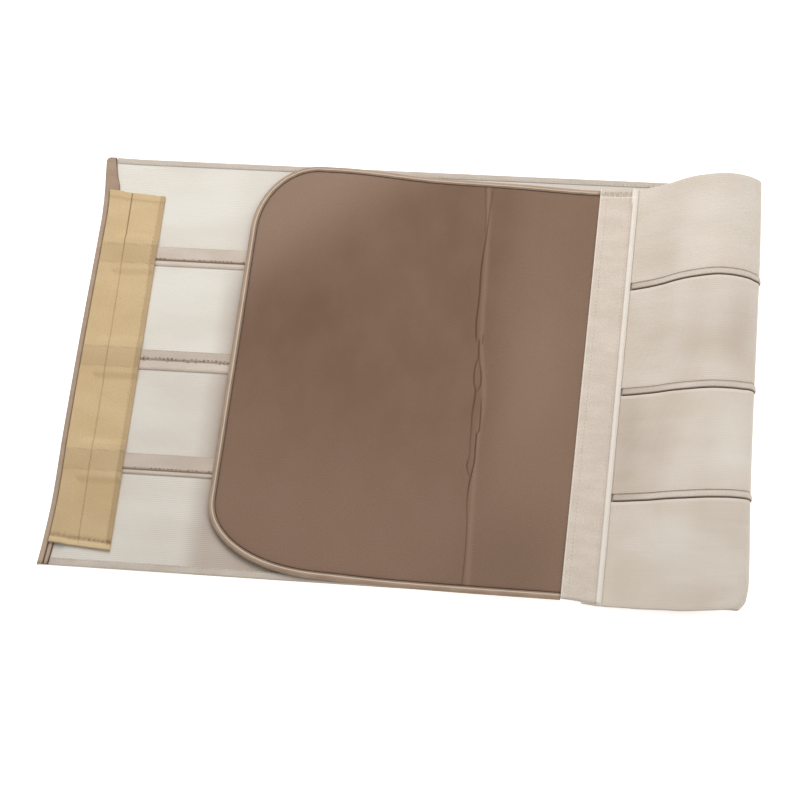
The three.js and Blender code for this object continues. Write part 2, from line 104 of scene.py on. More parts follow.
# Left end
END_ROLL_WIDTH = 2.6 * MM
END_FLANGE_WIDTH = 5.2 * MM
END_FLARE = 5.5 * MM
CORNER_CURL = 0.8 * MM
CORNER_REACH = 26 * MM
CORNER_ROUND = 3.2 * MM
HEM_FLANGE = 0.75
HOOK_FAR_REACH = 40.6 * MM
HOOK_NEAR_REACH = 44.4 * MM
HOOK_FAR_MARGIN = 26.5 * MM
HOOK_NEAR_MARGIN = 15 * MM
HOOK_DROP = 3 * MM
HOOK_CREASE_PLACE = 17 * MM
HOOK_CREASE_LEAN = 2.8 * MM
HOOK_CREASE_DEPTH = 0.5 * MM
HOOK_CREASE_WIDTH = 0.35 * MM
HOOK_STEP_RUN = 5.5 * MM

# Waves of the hump: depth, length, share of the place across, where along they begin and are full, and seed
HUMP_WAVES = (
    (0.35 * MM, 60 * MM, 1, 0.05, 0.3, 3),
    (0.4 * MM, 27 * MM, 0.3, 0.02, 0.2, 8),
)

# Puckers beside the seams of the outer face, and the painted highlight on the elastic's edge below each seam
PUCKER_LENGTH = 9 * MM
PUCKER_REACH = 4 * MM
PUCKER_DEPTH = 0.1 * MM
HIGHLIGHT_GAP = 0.9 * MM
HIGHLIGHT_WIDTH = 0.7 * MM

# Painted shadow on the inner cloth beside the loop panel, darker inner cloth on the near bands, and painted
# shading of the outer face in soft bands along the hump
PANEL_SHADOW = 18 * MM
NEAR_TONE_START = -4 * MM
NEAR_TONE_END = 12 * MM
HUMP_SHADING_LENGTH = 24 * MM

# Stitched grooves of the three seam tapes: places from the seam, darkness, and the tone of each tape
TAPE_GROOVES = (-3.1 * MM, 0, -4.1 * MM)
TAPE_GROOVE_SHADES = (1, 0.55, 0.85)
TAPE_TONES = (0.05, 0.2, 0.14)

# Thinned edges of the seam tapes and hems
TAPE_EDGE_RUN = 2 * MM
TAPE_EDGE_DROP = 0.45 * MM
FAR_HEM_SLOPE = 3 * MM
NEAR_HEM_SLOPE = 1.8 * MM
HEM_DROP = 0.65 * MM

# Left binding: where its roll fades at the hook strip's far end, where the painted shadow along its flange's
# inner edge grows full at the far corner, and where the painted light on its roll grows stronger at the near
# part
ROLL_FADE = 6 * MM
ROLL_FADE_END = 1 * MM
CORNER_SHADOW = 11 * MM
CORNER_SHADOW_FULL = 4 * MM
ROLL_LIGHT_NEAR_START = 2 * MM
ROLL_LIGHT_NEAR_END = 60 * MM

# Turned edges of the hook strip, the pressed line in its near end, its waves, and the edges of the seam
# tapes that show through it
HOOK_TURN = 5.4 * MM
HOOK_NEAR_TURN = 4.2 * MM
HOOK_EDGE_TURN = 3.6 * MM
HOOK_EDGE_STITCH = 3.9 * MM
HOOK_TURN_RISE = 0.2 * MM
PRESS_WIDTH = 1.2 * MM
PRESS_DEPTH = 0.25 * MM
PRESS_WANDER = 0.3 * MM
HOOK_WAVE = 0.1 * MM
HOOK_WAVE_LENGTH = 30 * MM
TAPE_SHOW_WIDTH = 0.4 * MM

# Turned far end of the joining tape, where its lip is wider, its stitched zone and its soft edges
FINE_END = 8 * MM
WIDE_LIP_REACH = 13 * MM
WIDE_LIP_MORE = 0.8 * MM
STITCH_ZONE = (2 * MM, 6 * MM)
END_CREASE = 6.6 * MM
SOFT_EDGE = 0.4 * MM
LINE_WIDTH = 0.5 * MM
JOIN_WAVE = 0.1 * MM
LIP_EDGE_RUN = 1.6 * MM
LIP_EDGE_DROP = 0.9 * MM

# Loop panel: the reach and depth of its sewn edge, its unevenness, its crease's ridges and fine zone
EDGE_REACH = 2.2 * MM
EDGE_DEPTH = 0.4 * MM
EDGE_SHADE_REACH = 0.7 * MM
PANEL_WAVE = 0.28 * MM
PANEL_WAVE_LENGTH = 70 * MM
RIDGE_PLACE = 2.6 * MM
RIDGE_WIDTH = 2.4 * MM
RIDGE_SHINE = 1.6 * MM
CREASE_ZONE = 1.3 * CREASE_REACH

# Spacing of the stitches: seams, dark and pale threads of the tapes, hems, joining tape and its end, hook
# strip, and the brown marks and dots on it
RIB_SPACING = 2.8 * MM
DARK_SPACING = 2.7 * MM
PALE_SPACING = 3 * MM
HEM_SPACING = 2.9 * MM
JOIN_SPACING = 2.7 * MM
JOIN_END_SPACING = 2.5 * MM
HOOK_SPACING = 2.9 * MM
MARK_SPACING = 3 * MM
DOT_SPACING = 3.5 * MM
HEM_STITCH_INSET = 0.9 * MM

# Rows of threads in the groove of each seam tape, in millimetres from the groove
TAPE_STITCH_ROWS = ((1.1,), (-0.7, 0.7, 1.4), (1.1,))

# Loop cloth: from where to where it grows lighter, in millimetres towards the near edge, along the band
# behind the crease, and towards the far free corner, where the lighter colour is painted light
LOOP_NEAR_LIGHT = (-40, 120)
LOOP_RIGHT_LIGHT = (45, 75)
LOOP_CORNER_PAINTED_LIGHT = (130, 210)

# Camera: azimuth, elevation and roll in degrees, lens and sensor in millimetres
CAMERA_ANGLES = (15.38, 62.48, -10.46)
CAMERA_LENS = 108
CAMERA_SENSOR = 36
CAMERA_TARGET = (-3.14 * MM, -17.76 * MM, 0)
CAMERA_DISTANCE = 1559 * MM

# Studio: name, place, size and power of each soft light
WORLD_STRENGTH = 0.42
FLOOR_GLOW = 0.6
LIGHTS = (
    ("key_light", (-0.2, 0.6, 0.8), 0.7, 5.8),
    ("side_light", (0.75, 0.1, 1.2), 1.2, 5.5),
)


def table(columns, *rows):
    """Short table as named columns."""
    return {name: np.array(values, float) for name, values in zip(columns.split(), zip(*rows))}


# Rise of the front layer between the joining tape and the fold: shares of HUMP_RUN and of the hump's height
HUMP = table(
    "along lift",
    (0, 0),
    (0.1, 0.15),
    (0.2, 0.33),
    (0.3, 0.53),
    (0.4, 0.75),
    (0.5, 0.91),
    (0.6, 0.985),
    (0.68, 1),
    (0.76, 0.955),
    (0.84, 0.83),
    (0.91, 0.65),
)

# Hump and fold across the band, as shares of half its height, of HUMP_HEIGHT and of FOLD_RADIUS
ACROSS = table(
    "across lift radius reach",
    (-1, 0.2, 0.52, -0.46),
    (-0.967, 0.23, 0.54, 0.08),
    (-0.88, 0.34, 0.62, 0.3),
    (-0.52, 0.64, 0.86, 0.1),
    (-0.02, 0.7, 0.9, 0),
    (0.5, 1, 1, 0),
    (1, 0.94, 0.96, -0.2),
)

# Plan of the front layer: shares of its length from the loop panel's free end and of half the band's height
PLAN = table(
    "along far near",
    (0, 0.997, -0.994),
    (0.17, 0.993, -0.99),
    (0.36, 0.96, -1.007),
    (0.52, 0.949, -1.012),
    (0.68, 0.934, -1.014),
    (0.755, 0.943, -1.03),
    (0.88, 0.972, -1.036),
    (0.94, 0.986, -1.024),
    (1, 1, -1.004),
)

# Left end across the band, as shares of half its height, of END_FLARE, CORNER_CURL and END_FLANGE_WIDTH
END = table(
    "across flare curl flange",
    (-1, 0.05, 0, 0.68),
    (-0.9, -0.15, 0, 0.75),
    (-0.7, -0.35, 0, 1),
    (-0.38, -0.15, 0, 1),
    (0.1, 0, 0, 1),
    (0.68, 0.04, 0, 1),
    (0.83, 0.3, 0.1, 1.35),
    (0.915, 0.56, 0.4, 0.95),
    (1, 0.78, 1, 0.65),
)

# Line of the panel's crease, as shares of half the band's height and of CREASE_REACH
CREASE = table(
    "across shift",
    (-1, 0.85),
    (-0.3, 0.45),
    (-0.12, 0.65),
    (0.2, -0.15),
    (0.72, -0.55),
    (1, -1),
)


def fold(*rows):
    """Dark fold as a table of points along it."""
    return table("across shift depth", *rows)


# Dark folds in the crease: place across as a share of half the height, place along in millimetres from the
# crease's own place, and depth as a share of CREASE_DEPTH
CREASE_FOLDS = (
    fold(
        (0.175, -1.6, 0), (0.19, -1.8, 0.8), (0.212, -2.3, 1), (0.287, -3, 1), (0.388, -2.7, 1),
        (0.539, -3.3, 1), (0.62, -3, 0.9), (0.7, -2.3, 0.7), (0.773, -1.9, 0.55), (0.85, -1.6, 0.5),
        (0.9, -1.1, 0.5), (0.95, -1, 0.4), (0.975, -1.6, 0.3),
    ),
    fold(
        (0.7, -3.3, 0), (0.773, -3.5, 0.45), (0.9, -5.2, 0.45), (0.99, -6.4, 0.6),
    ),
    fold(
        (0.165, 2.4, 0), (0.175, 2.4, 0.5), (0.205, 2.5, 0.5), (0.212, 2.5, 0),
    ),
    fold(
        (0.1, 1, 1), (0.18, 0.2, 0.9), (0.19, 0.2, 0),
    ),
    fold(
        (-0.465, 2.4, 0.6), (-0.42, 0.6, 0.9), (-0.37, 1.6, 0.5), (-0.321, 1.2, 0.6), (-0.25, 0.9, 0.7),
        (-0.177, 0.5, 0.8), (-0.09, 1.2, 1), (-0.06, 1, 1), (-0.026, -0.3, 0.9), (0.016, -0.9, 0.9),
        (0.06, -0.5, 0.9), (0.1, 1, 0.8),
    ),
    fold(
        (-0.07, 1.5, 0.6), (-0.055, 3, 0.8), (-0.026, 4.1, 0.9), (0.016, 3.7, 0.9), (0.06, 2.4, 0.7),
        (0.1, 1.1, 0.6),
    ),
    fold(
        (-0.99, 5.1, 0.5), (-0.833, 5.2, 0.5), (-0.672, 4.2, 0.5), (-0.578, 2.9, 0.6),
        (-0.511, 3.2, 0.9), (-0.465, 3.9, 1), (-0.391, 5.1, 1), (-0.321, 4.7, 1), (-0.27, 4.7, 1),
        (-0.25, 6.1, 0.9), (-0.177, 6, 0.9), (-0.13, 5.6, 0.6), (-0.08, 5, 0),
    ),
)

# Seam between two bands: its outline from the near edge over the top, as shares of half RIB_WIDTH and of
# RIB_PROUD above the elastic, with the darkness of its stitched edges
RIB = table(
    "across rise shade",
    (-0.98, -1.2, 1),
    (-1, -0.5, 1),
    (-0.98, 0.1, 1),
    (-0.9, 0.5, 0.85),
    (-0.78, 0.82, 0.45),
    (-0.66, 0.96, 0.1),
    (-0.56, 1.02, 0),
    (-0.4, 1.02, -0.1),
    (-0.1, 1, 0),
    (0.25, 0.95, 0),
    (0.5, 0.85, 0.1),
    (0.66, 0.65, 0.3),
    (0.84, 0.35, 0.35),
    (1, -0.2, 0.2),
    (0.98, -1.2, 0.2),
)

# Rolled binding of the loop panel: its outline from outside to inside, as shares of PANEL_BINDING_WIDTH and
# of PANEL_BINDING_RISE above the panel, with the darkness of the seam, and below 0 for the painted highlight
# along the roll
BINDING = table(
    "inward rise shade",
    (0.02, -3.6, 0.3),
    (0, -2.6, 0.25),
    (0.03, -1.4, 0.15),
    (0.12, -0.2, 0.05),
    (0.24, 0.5, 0),
    (0.36, 0.85, 0),
    (0.46, 1, 0),
    (0.54, 1.02, -0.2),
    (0.6, 0.9, -0.7),
    (0.66, 0.7, -0.6),
    (0.71, 0.45, 0),
    (0.77, 0.2, 0.5),
    (0.86, 0.12, 0.4),
    (0.93, 0, 0.45),
    (0.97, -0.5, 0.6),
    (1, -1.4, 0.7),
    (1, -2.6, 0.7),
)

# Rolled binding of the left end: its outline from the inner flange over the roll and down the cut edge.
# Places inward are millimetres from the band's end plus shares of the flange's width, and heights are
# millimetres up from the flange's lower face. Roll is the part of the height that belongs to the roll,
# groove the darkness of the groove beside it, and edge the darkness of the flange's inner edge, a painted
# shadow of that edge.
END_BINDING = table(
    "inward flange up roll groove edge",
    (2.6, 0.98, 0.02, 0, 0, 1),
    (2.6, 1, 0.35, 0, 0, 1),
    (2.55, 1, 0.75, 0, 0, 1),
    (2.2, 1, 0.98, 0, 0, 0.9),
    (1.9, 1, 1, 0, 0, 0.15),
    (2.9, 0.5, 1.02, 0.1, 0, 0),
    (3.5, 0.1, 1, 0.06, 0.1, 0),
    (3.1, 0, 1, -0.2, 0.9, 0),
    (2.6, 0, 1, -0.22, 1, 0),
    (2.2, 0, 1.02, 0.1, 0.4, 0),
    (1.6, 0, 1.03, 0.42, 0, 0),
    (0.8, 0, 1.04, 0.58, 0, 0),
    (0, 0, 1, 0.45, 0, 0),
    (-0.7, 0, 0.85, 0.2, 0, 0),
    (-1.15, 0, 0.4, 0, 0, 0),
    (-1.3, 0, -0.4, 0, 0, 0),
    (-1.22, 0, -1.2, 0, 0, 0),
    (-0.8, 0, -1.3, 0, 0, 0),
    (-0.35, 0, -1.25, 0, 0, 0),
    (-0.3, 0, -0.4, 0, 0, 0),
    (0, 0, 0.02, 0, 0, 0),
    (2.6, 0.5, 0.02, 0, 0, 0),
)

# Painted light and shade on the outer face of the front layer, lighter and darker places that stand for the
# soft shading of its hump: place along as a share of HUMP_RUN, place across as a share of half the height,
# their sizes in the same shares, and the shade, below 0 where lighter
HUMP_PATCHES = table(
    "along across length height shade",
    (0.85, 0.75, 0.3, 0.3, -0.3),
    (0.9, 0.25, 0.22, 0.24, 0.16),
    (0.12, -0.28, 0.2, 0.24, 0.22),
    (0.9, -0.25, 0.2, 0.26, -0.5),
    (0.5, -0.75, 0.28, 0.2, -0.28),
)

# Painted light and shade on the loop panel in the same way, with places along from the crease as shares of
# PANEL_LENGTH
PANEL_PATCHES = table(
    "along across length height shade",
    (-0.45, 0.1, 0.2, 0.4, 0.14),
    (0.18, 0.05, 0.1, 0.45, -0.24),
    (0.15, -0.85, 0.14, 0.3, 0.26),
)

# Places along and across the band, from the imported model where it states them
far_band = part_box("elastic_band_1_back")
near_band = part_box("elastic_band_4_back")
end_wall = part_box("end_binding")
HALF = (far_band[1].y - near_band[0].y) / 2
MIDDLE_Y = (far_band[1].y + near_band[0].y) / 2
BINDING_WALL = TAPE_THICKNESS + CLEARANCE
LEFT_X = end_wall[0].x + BINDING_WALL + END_FLARE * END["flare"].max()
FOLD_X = LEFT_X + FOLDED_LENGTH
BAND_MIDDLE_X = LEFT_X + FOLDED_LENGTH / 2
JOIN_RIGHT = FOLD_X - HUMP_RUN
JOIN_LEFT = JOIN_RIGHT - JOIN_TAPE_WIDTH
JOIN_MIDDLE = (JOIN_LEFT + JOIN_RIGHT) / 2
PANEL_LEFT = JOIN_LEFT - PANEL_LENGTH
FRONT_LENGTH = FOLD_X - PANEL_LEFT
PANEL_PLACE = PANEL_LEFT - LEFT_X
CREASE_X = BAND_MIDDLE_X + CREASE_PLACE
TAPE_END_X = LEFT_X + END_ROLL_WIDTH + END_FLANGE_WIDTH + CLEARANCE
HEM_END_X = LEFT_X + END_ROLL_WIDTH + HEM_FLANGE * END_FLANGE_WIDTH + CLEARANCE
BINDING_ZONE = END_ROLL_WIDTH + END_FLANGE_WIDTH * END["flange"].max()
SEAMS = [HALF * (1 - 2 * sum(BAND_SHARES[: i + 1])) for i in range(len(BAND_SHARES) - 1)]
HOOK_FAR_END = HALF - HOOK_FAR_MARGIN
HOOK_NEAR_END = HOOK_NEAR_MARGIN - HALF
HOOK_LENGTH = HOOK_FAR_END - HOOK_NEAR_END

# Heights of the layers above the surface that the band lies on, and distances from the middle of the cloth
BACK_MIDDLE = RIB_PROUD + ELASTIC_THICKNESS / 2
OUTER_FACE = ELASTIC_THICKNESS / 2
INNER_FACE = -OUTER_FACE
TAPE_NEAR = INNER_FACE - CLEARANCE
TAPE_FAR = TAPE_NEAR - TAPE_THICKNESS
BACK_TAPE_TOP = BACK_MIDDLE - TAPE_FAR
PANEL_BOTTOM = BACK_TAPE_TOP + CLEARANCE
PANEL_TOP = PANEL_BOTTOM + PANEL_THICKNESS
FRONT_MIDDLE = PANEL_TOP - OUTER_FACE
HOOK_ON_BANDS = BACK_MIDDLE + ELASTIC_THICKNESS / 2 + CLEARANCE
HOOK_ON_TAPES = BACK_TAPE_TOP + CLEARANCE

# Steps of the fine surfaces
FLAT_STEPS = 4
HUMP_STEPS = 56
BRIDGE_STEPS = 5
FOLD_STEPS = 26
BACK_STEPS = 120
END_STEPS = 5
CORNER_STEPS = 1 - np.sin(np.linspace(0, math.pi / 2, 9)[1:])
TURN_STEPS = 40
SIDE_STEPS = 90
BINDING_LINES = 120
HOOK_LINES = 260
PANEL_LINES = 181
JOIN_LINES = 130
JOIN_FINE_LINES = 20
ACROSS_STEP = 2.2 * MM
TAPE_STEP = 0.35 * MM
HEM_STEP = 0.5 * MM
HOOK_STEP = 0.3 * MM


def read(rows, key, column, place):
    """Smooth value of a column where the key column has that place. It never overshoots its rows."""
    at, value = rows[key], rows[column]
    rise = np.diff(value) / np.diff(at)
    before, after = rise[:-1], rise[1:]
    level = np.zeros_like(before)
    np.divide(2 * before * after, before + after, out=level, where=before * after > 0)
    slope = np.concatenate([rise[:1], level, rise[-1:]])
    place = np.clip(place, at[0], at[-1])
    i = np.clip(np.searchsorted(at, place, "right") - 1, 0, len(at) - 2)
    run = at[i + 1] - at[i]
    t = (place - at[i]) / run
    start = (1 + 2 * t) * (1 - t) ** 2 * value[i] + t * (1 - t) ** 2 * run * slope[i]
    return start + t * t * (3 - 2 * t) * value[i + 1] + t * t * (t - 1) * run * slope[i + 1]


def smooth_step(place, low, high):
    """0 below low, 1 above high and smooth between them."""
    t = np.clip((place - low) / (high - low), 0, 1)
    return t * t * (3 - 2 * t)


def near_line(place, line, width):
    """1 on a line, and soon 0 beside it."""
    return np.exp(-(((place - line) / width) ** 2))


def patch_tone(patches, along, across):
    """Shade of soft patches from a table, at places along and across in the table's shares."""
    total = 0
    for at, line, length, height, shade in zip(*patches.values()):
        total = total + shade * near_line(along, at, length) * near_line(across, line, height)
    return total


def ripple(along, across, length, seed):
    """Gentle unevenness of cloth in use, about -1 to 1, over lengths round the given one."""
    draw = random.Random(seed)
    total = 0
    for _ in range(5):
        turn = draw.uniform(0, math.tau)
        wave = math.tau / (length * draw.uniform(0.6, 1.7))
        phase = draw.uniform(0, math.tau)
        total = total + np.sin(wave * (along * math.cos(turn) + across * math.sin(turn)) + phase)
    return total / 3


def front_across(x, across):
    """Plan place across the front layer at x, for a place across the flat band."""
    along = (x - PANEL_LEFT) / FRONT_LENGTH
    far = read(PLAN, "along", "far", along) * HALF
    near = read(PLAN, "along", "near", along) * HALF
    return near + (far - near) * (across / HALF + 1) / 2


def together(*places):
    """Coordinates of one shape from coordinates of different shapes."""
    return np.stack(np.broadcast_arrays(*places), axis=-1)


def bridge(start, end, before, after, steps):
    """Points between two ends of a curve that leave and arrive in the curve's own directions."""
    run = np.linalg.norm(end - start, axis=-1, keepdims=True)
    leave = (start - before) / np.linalg.norm(start - before, axis=-1, keepdims=True) * run
    arrive = (after - end) / np.linalg.norm(after - end, axis=-1, keepdims=True) * run
    t = np.linspace(0, 1, steps + 1)[1:-1, None, None]
    curve = (1 + 2 * t) * (1 - t) ** 2 * start + t * (1 - t) ** 2 * leave
    return curve + t * t * (3 - 2 * t) * end + t * t * (t - 1) * arrive


def band_line(across):
    """Middle of the cloth along the whole band at places across it, its outward directions and the length so
    far. It runs from the end under the joining tape over the hump, round the fold and to the left end."""
    across = np.asarray(across, float)[None, :]
    share = across / HALF
    lean = JOIN_LEAN * share
    radius = FOLD_RADIUS * read(ACROSS, "across", "radius", share)
    reach = FOLD_X + FOLD_RADIUS * read(ACROSS, "across", "reach", share)
    height = HUMP_HEIGHT * read(ACROSS, "across", "lift", share)

    flat = np.linspace(JOIN_MIDDLE + CLEARANCE / 2, JOIN_RIGHT, FLAT_STEPS, endpoint=False)[:, None]
    flat_part = (flat + lean, front_across(flat, across), FRONT_MIDDLE + 0 * share)

    along = np.linspace(0, HUMP["along"][-1], HUMP_STEPS)[:, None]
    x = (JOIN_RIGHT + lean) * (1 - along) + reach * along
    rise = height * read(HUMP, "along", "lift", along)
    for depth, length, across_share, start, full, seed in HUMP_WAVES:
        wave = depth * ripple(x, across_share * across, length, seed)
        rise = rise + wave * smooth_step(along, start, full)
    hump_part = (x, front_across(x, across), FRONT_MIDDLE + rise)

    angle = np.linspace(FOLD_START, -math.pi / 2, FOLD_STEPS)[:, None]
    x = reach - radius + radius * np.cos(angle)
    turned = (FOLD_START - angle) / (FOLD_START + math.pi / 2)
    y = front_across(x, across) * (1 - turned) + across * turned
    fold_part = (x, y, BACK_MIDDLE + radius + radius * np.sin(angle))

    bottom = (reach - radius)[0]
    back = np.linspace(bottom, TAPE_END_X, BACK_STEPS + 1)[1:]
    end = np.linspace(HEM_END_X, LEFT_X, END_STEPS)[:, None] + 0 * share
    plain = np.concatenate([back, end])
    towards_end = np.clip((LEFT_X + CORNER_REACH - plain) / (CORNER_REACH - BINDING_ZONE), 0, 1)
    flare = END_FLARE * read(END, "across", "flare", share) * towards_end
    curl = CORNER_CURL * read(END, "across", "curl", share) * towards_end**2
    back_part = (plain - flare, across + 0 * plain, BACK_MIDDLE + curl)

    parts = (flat_part, hump_part, fold_part, back_part)
    flat_part, hump_part, fold_part, back_part = (together(*part) for part in parts)
    middle = bridge(hump_part[-1], fold_part[0], hump_part[-2], fold_part[1], BRIDGE_STEPS)
    points = np.concatenate([flat_part, hump_part, middle, fold_part, back_part])
    way = np.gradient(points, axis=0)
    out = np.stack([-way[..., 2], 0 * way[..., 0], way[..., 0]], axis=-1)
    out /= np.linalg.norm(out, axis=-1, keepdims=True)
    steps = np.linalg.norm(np.diff(points, axis=0), axis=-1).mean(axis=1)
    points[..., 1] += MIDDLE_Y
    return points, out, np.concatenate([[0], np.cumsum(steps)])


# Stations of the band that layers start and end at
RIB_START = FLAT_STEPS + 1
FOLD_END = FLAT_STEPS + HUMP_STEPS + BRIDGE_STEPS - 1 + FOLD_STEPS - 1
TAPE_END = FOLD_END + BACK_STEPS
HEM_END = TAPE_END + 1
BAND_END = TAPE_END + END_STEPS


def add_mesh(name, points, faces, cloth, materials, material_of=None, sharp=()):
    """New object from points and faces, with the cloth's own coordinates on its points."""
    mesh = bpy.data.meshes.new(name)
    mesh.from_pydata(points, [], faces)
    attribute = mesh.attributes.new("cloth", "FLOAT_VECTOR", "POINT")
    attribute.data.foreach_set("vector", np.asarray(cloth, np.float32).ravel())
    for material in materials:
        mesh.materials.append(material)
    smooth = np.ones(len(faces), bool)
    smooth[list(sharp)] = False
    mesh.polygons.foreach_set("use_smooth", smooth)
    if material_of is not None:
        mesh.polygons.foreach_set("material_index", np.asarray(material_of, np.int32))
    shape = bmesh.new()
    shape.from_mesh(mesh)
    bmesh.ops.recalc_face_normals(shape, faces=shape.faces)
    shape.to_mesh(mesh)
    shape.free()
    piece = bpy.data.objects.new(name, mesh)
    bpy.context.scene.collection.objects.link(piece)
    return piece


def sweep(name, rings, cloth, materials, inside=None):
    """Closed body through rings of points. Faces between points that are inside take the second material."""
    stations, count = rings.shape[:2]
    first = np.arange(stations - 1)[:, None] * count
    here = np.arange(count)[None, :]
    after = (here + 1) % count
    walls = np.stack([first + here, first + after, first + count + after, first + count + here], axis=-1)
    faces = walls.reshape(-1, 4).tolist()
    material_of = np.zeros((stations - 1, count), int)
    if inside is not None:
        material_of[:] = inside & np.roll(inside, -1)
    faces.append(list(range(count)))
    faces.append(list(range((stations - 1) * count, stations * count)))
    material_of = np.append(material_of.ravel(), [0, 0])
    caps = (len(faces) - 2, len(faces) - 1)
    points = rings.reshape(-1, 3).tolist()
    return add_mesh(name, points, faces, cloth.reshape(-1, 3), materials, material_of, caps)


def strip_profile(low, high, inner, outer, spacing=ACROSS_STEP):
    """Closed outline of a strip of cloth with round edges: places across and distances from the middle."""
    round_off = (outer - inner) / 2
    middle = (outer + inner) / 2
    count = max(3, round((high - low) / spacing))
    flat = np.linspace(low + round_off, high - round_off, count)
    turn = np.radians((60, 30, 0, -30, -60))
    far_edge = high - round_off + round_off * np.cos(turn)
    near_edge = low + round_off - round_off * np.cos(turn)
    side = middle + round_off * np.sin(turn)
    across = np.concatenate([flat, far_edge, flat[::-1], near_edge])
    out = np.concatenate([0 * flat + outer, side, 0 * flat + inner, side[::-1]])
    return {"across": across, "out": out, "shade": 0 * across, "inside": out <= middle}


def band_sweep(name, profile, first, last, materials, relief=None, tone=None):
    """Body that follows the band between two stations. Relief adds to the distances from the middle, and
    tone to the shades."""
    points, out, along = band_line(profile["across"])
    points, out, along = points[first : last + 1], out[first : last + 1], along[first : last + 1, None]
    offset = profile["out"][None, :] + 0 * along
    if relief is not None:
        offset = offset + relief(along, profile)
    rings = points + out * offset[..., None]
    across = profile["across"][None, :] + 0 * along
    shade = profile["shade"][None, :] + 0 * along
    if tone is not None:
        shade = shade + tone(along, profile)
    cloth = np.stack([along + 0 * across, across, shade], axis=-1)
    return sweep(name, rings, cloth, materials, profile.get("inside"))


class Paint:
    """One material under construction. Its places are in millimetres along and across the cloth."""

    def __init__(self, name, sheen=0.0, specular=0.3):
        self.material = bpy.data.materials.new(name)
        self.material.use_nodes = True
        self.tree = self.material.node_tree
        self.shader = self.tree.nodes["Principled BSDF"]
        self.shader.inputs["Sheen Weight"].default_value = sheen
        self.shader.inputs["Sheen Roughness"].default_value = 0.6
        self.shader.inputs["Specular IOR Level"].default_value = specular
        source = self.node("ShaderNodeAttribute", attribute_name="cloth")
        parts = self.node("ShaderNodeSeparateXYZ")
        self.link(source.outputs["Vector"], parts.inputs[0])
        self.along = self.math("DIVIDE", parts.outputs["X"], MM)
        self.across = self.math("DIVIDE", parts.outputs["Y"], MM)
        self.shade = parts.outputs["Z"]

    def node(self, kind, **settings):
        made = self.tree.nodes.new(kind)
        for name, value in settings.items():
            setattr(made, name, value)
        return made

    def link(self, source, target):
        self.tree.links.new(source, target)

    def feed(self, socket, value):
        if isinstance(value, bpy.types.NodeSocket):
            self.link(value, socket)
        else:
            socket.default_value = value

    def math(self, operation, first, second=0.0, clamp=False):
        made = self.node("ShaderNodeMath", operation=operation, use_clamp=clamp)
        self.feed(made.inputs[0], first)
        self.feed(made.inputs[1], second)
        return made.outputs[0]

    def add(self, *values):
        total = values[0]
        for value in values[1:]:
            total = self.math("ADD", total, value)
        return total

    def times(self, value, factor):
        return self.math("MULTIPLY", value, factor)

    def noise(self, along_size, across_size, detail=2.0):
        """Noise from about 0 to 1 with patches of that size in millimetres."""
        place = self.node("ShaderNodeCombineXYZ")
        self.link(self.math("DIVIDE", self.along, along_size), place.inputs[0])
        self.link(self.math("DIVIDE", self.across, across_size), place.inputs[1])
        made = self.node("ShaderNodeTexNoise")
        made.inputs["Scale"].default_value = 1.0
        made.inputs["Detail"].default_value = detail
        self.link(place.outputs[0], made.inputs["Vector"])
        return made.outputs["Fac"]

    def waves(self, place, size):
        """Even waves from -1 to 1, one for each size in millimetres."""
        return self.math("SINE", self.times(place, math.tau / size))

    def between(self, value, low, high, start=0.0, end=1.0):
        made = self.node("ShaderNodeMapRange", interpolation_type="SMOOTHSTEP")
        self.feed(made.inputs["Value"], value)
        made.inputs["From Min"].default_value = low
        made.inputs["From Max"].default_value = high
        made.inputs["To Min"].default_value = start
        made.inputs["To Max"].default_value = end
        return made.outputs["Result"]

    def mix(self, factor, first, second):
        made = self.node("ShaderNodeMix", data_type="RGBA")
        self.feed(made.inputs["Factor"], factor)
        self.feed(made.inputs["A"], first)
        self.feed(made.inputs["B"], second)
        return made.outputs["Result"]

    def shaded(self, base, dark, light):
        """Base colour towards a dark one where the cloth's shade is above 0, and a light one where below."""
        darker = self.math("MAXIMUM", self.shade, 0.0, clamp=True)
        lighter = self.math("MAXIMUM", self.times(self.shade, -1.0), 0.0, clamp=True)
        return self.mix(lighter, self.mix(darker, base, colour(dark)), colour(light))

    def tint(self, base, value, low, high, amount, code):
        """Base colour towards another by an amount, where a value goes from low to high."""
        return self.mix(self.times(self.between(value, low, high), amount), base, colour(code))

    def blend(self, value, low, light, dark):
        """From one colour to another as a value goes through its middle range."""
        return self.mix(self.between(value, low, 1 - low), colour(light), colour(dark))

    def finish(self, base, grain, smooth, rough, height, distance):
        """Colour, roughness by the grain, and raised height times the distance go to the shader."""
        self.link(base, self.shader.inputs["Base Color"])
        self.link(self.between(grain, 0.3, 0.7, smooth, rough), self.shader.inputs["Roughness"])
        bump = self.node("ShaderNodeBump")
        bump.inputs["Strength"].default_value = 1.0
        bump.inputs["Distance"].default_value = distance
        self.link(height, bump.inputs["Height"])
        self.link(bump.outputs["Normal"], self.shader.inputs["Normal"])
        return self.material


def colour(code):
    """Linear colour from a six-digit screen colour."""
    screen = [int(code[i : i + 2], 16) / 255 for i in (0, 2, 4)]
    return (*(c / 12.92 if c <= 0.04045 else ((c + 0.055) / 1.055) ** 2.4 for c in screen), 1.0)


def elastic_material(name, light, mid, dark, streak):
    """Woven elastic: fine ribs along its length, crossing threads, and faint lengthwise streaks."""
    paint = Paint(name, sheen=0.15)
    patches = paint.noise(70, 34, 2)
    streaks = paint.noise(60, 1.7, 3)
    grain = paint.noise(1.1, 0.8, 1)
    base = paint.blend(patches, 0.35, light, mid)
    base = paint.tint(base, streaks, 0.5, 0.72, streak, dark)
    base = paint.tint(base, grain, 0.45, 0.7, 0.12, dark)
    base = paint.shaded(base, "866040", "efe9df")
    ribs = paint.waves(paint.across, 1.35)
    threads = paint.times(paint.waves(paint.along, 0.95), 0.35)
    height = paint.add(ribs, threads, paint.times(streaks, 4 * streak), grain)
    return paint.finish(base, grain, 0.78, 0.92, height, 0.05 * MM)


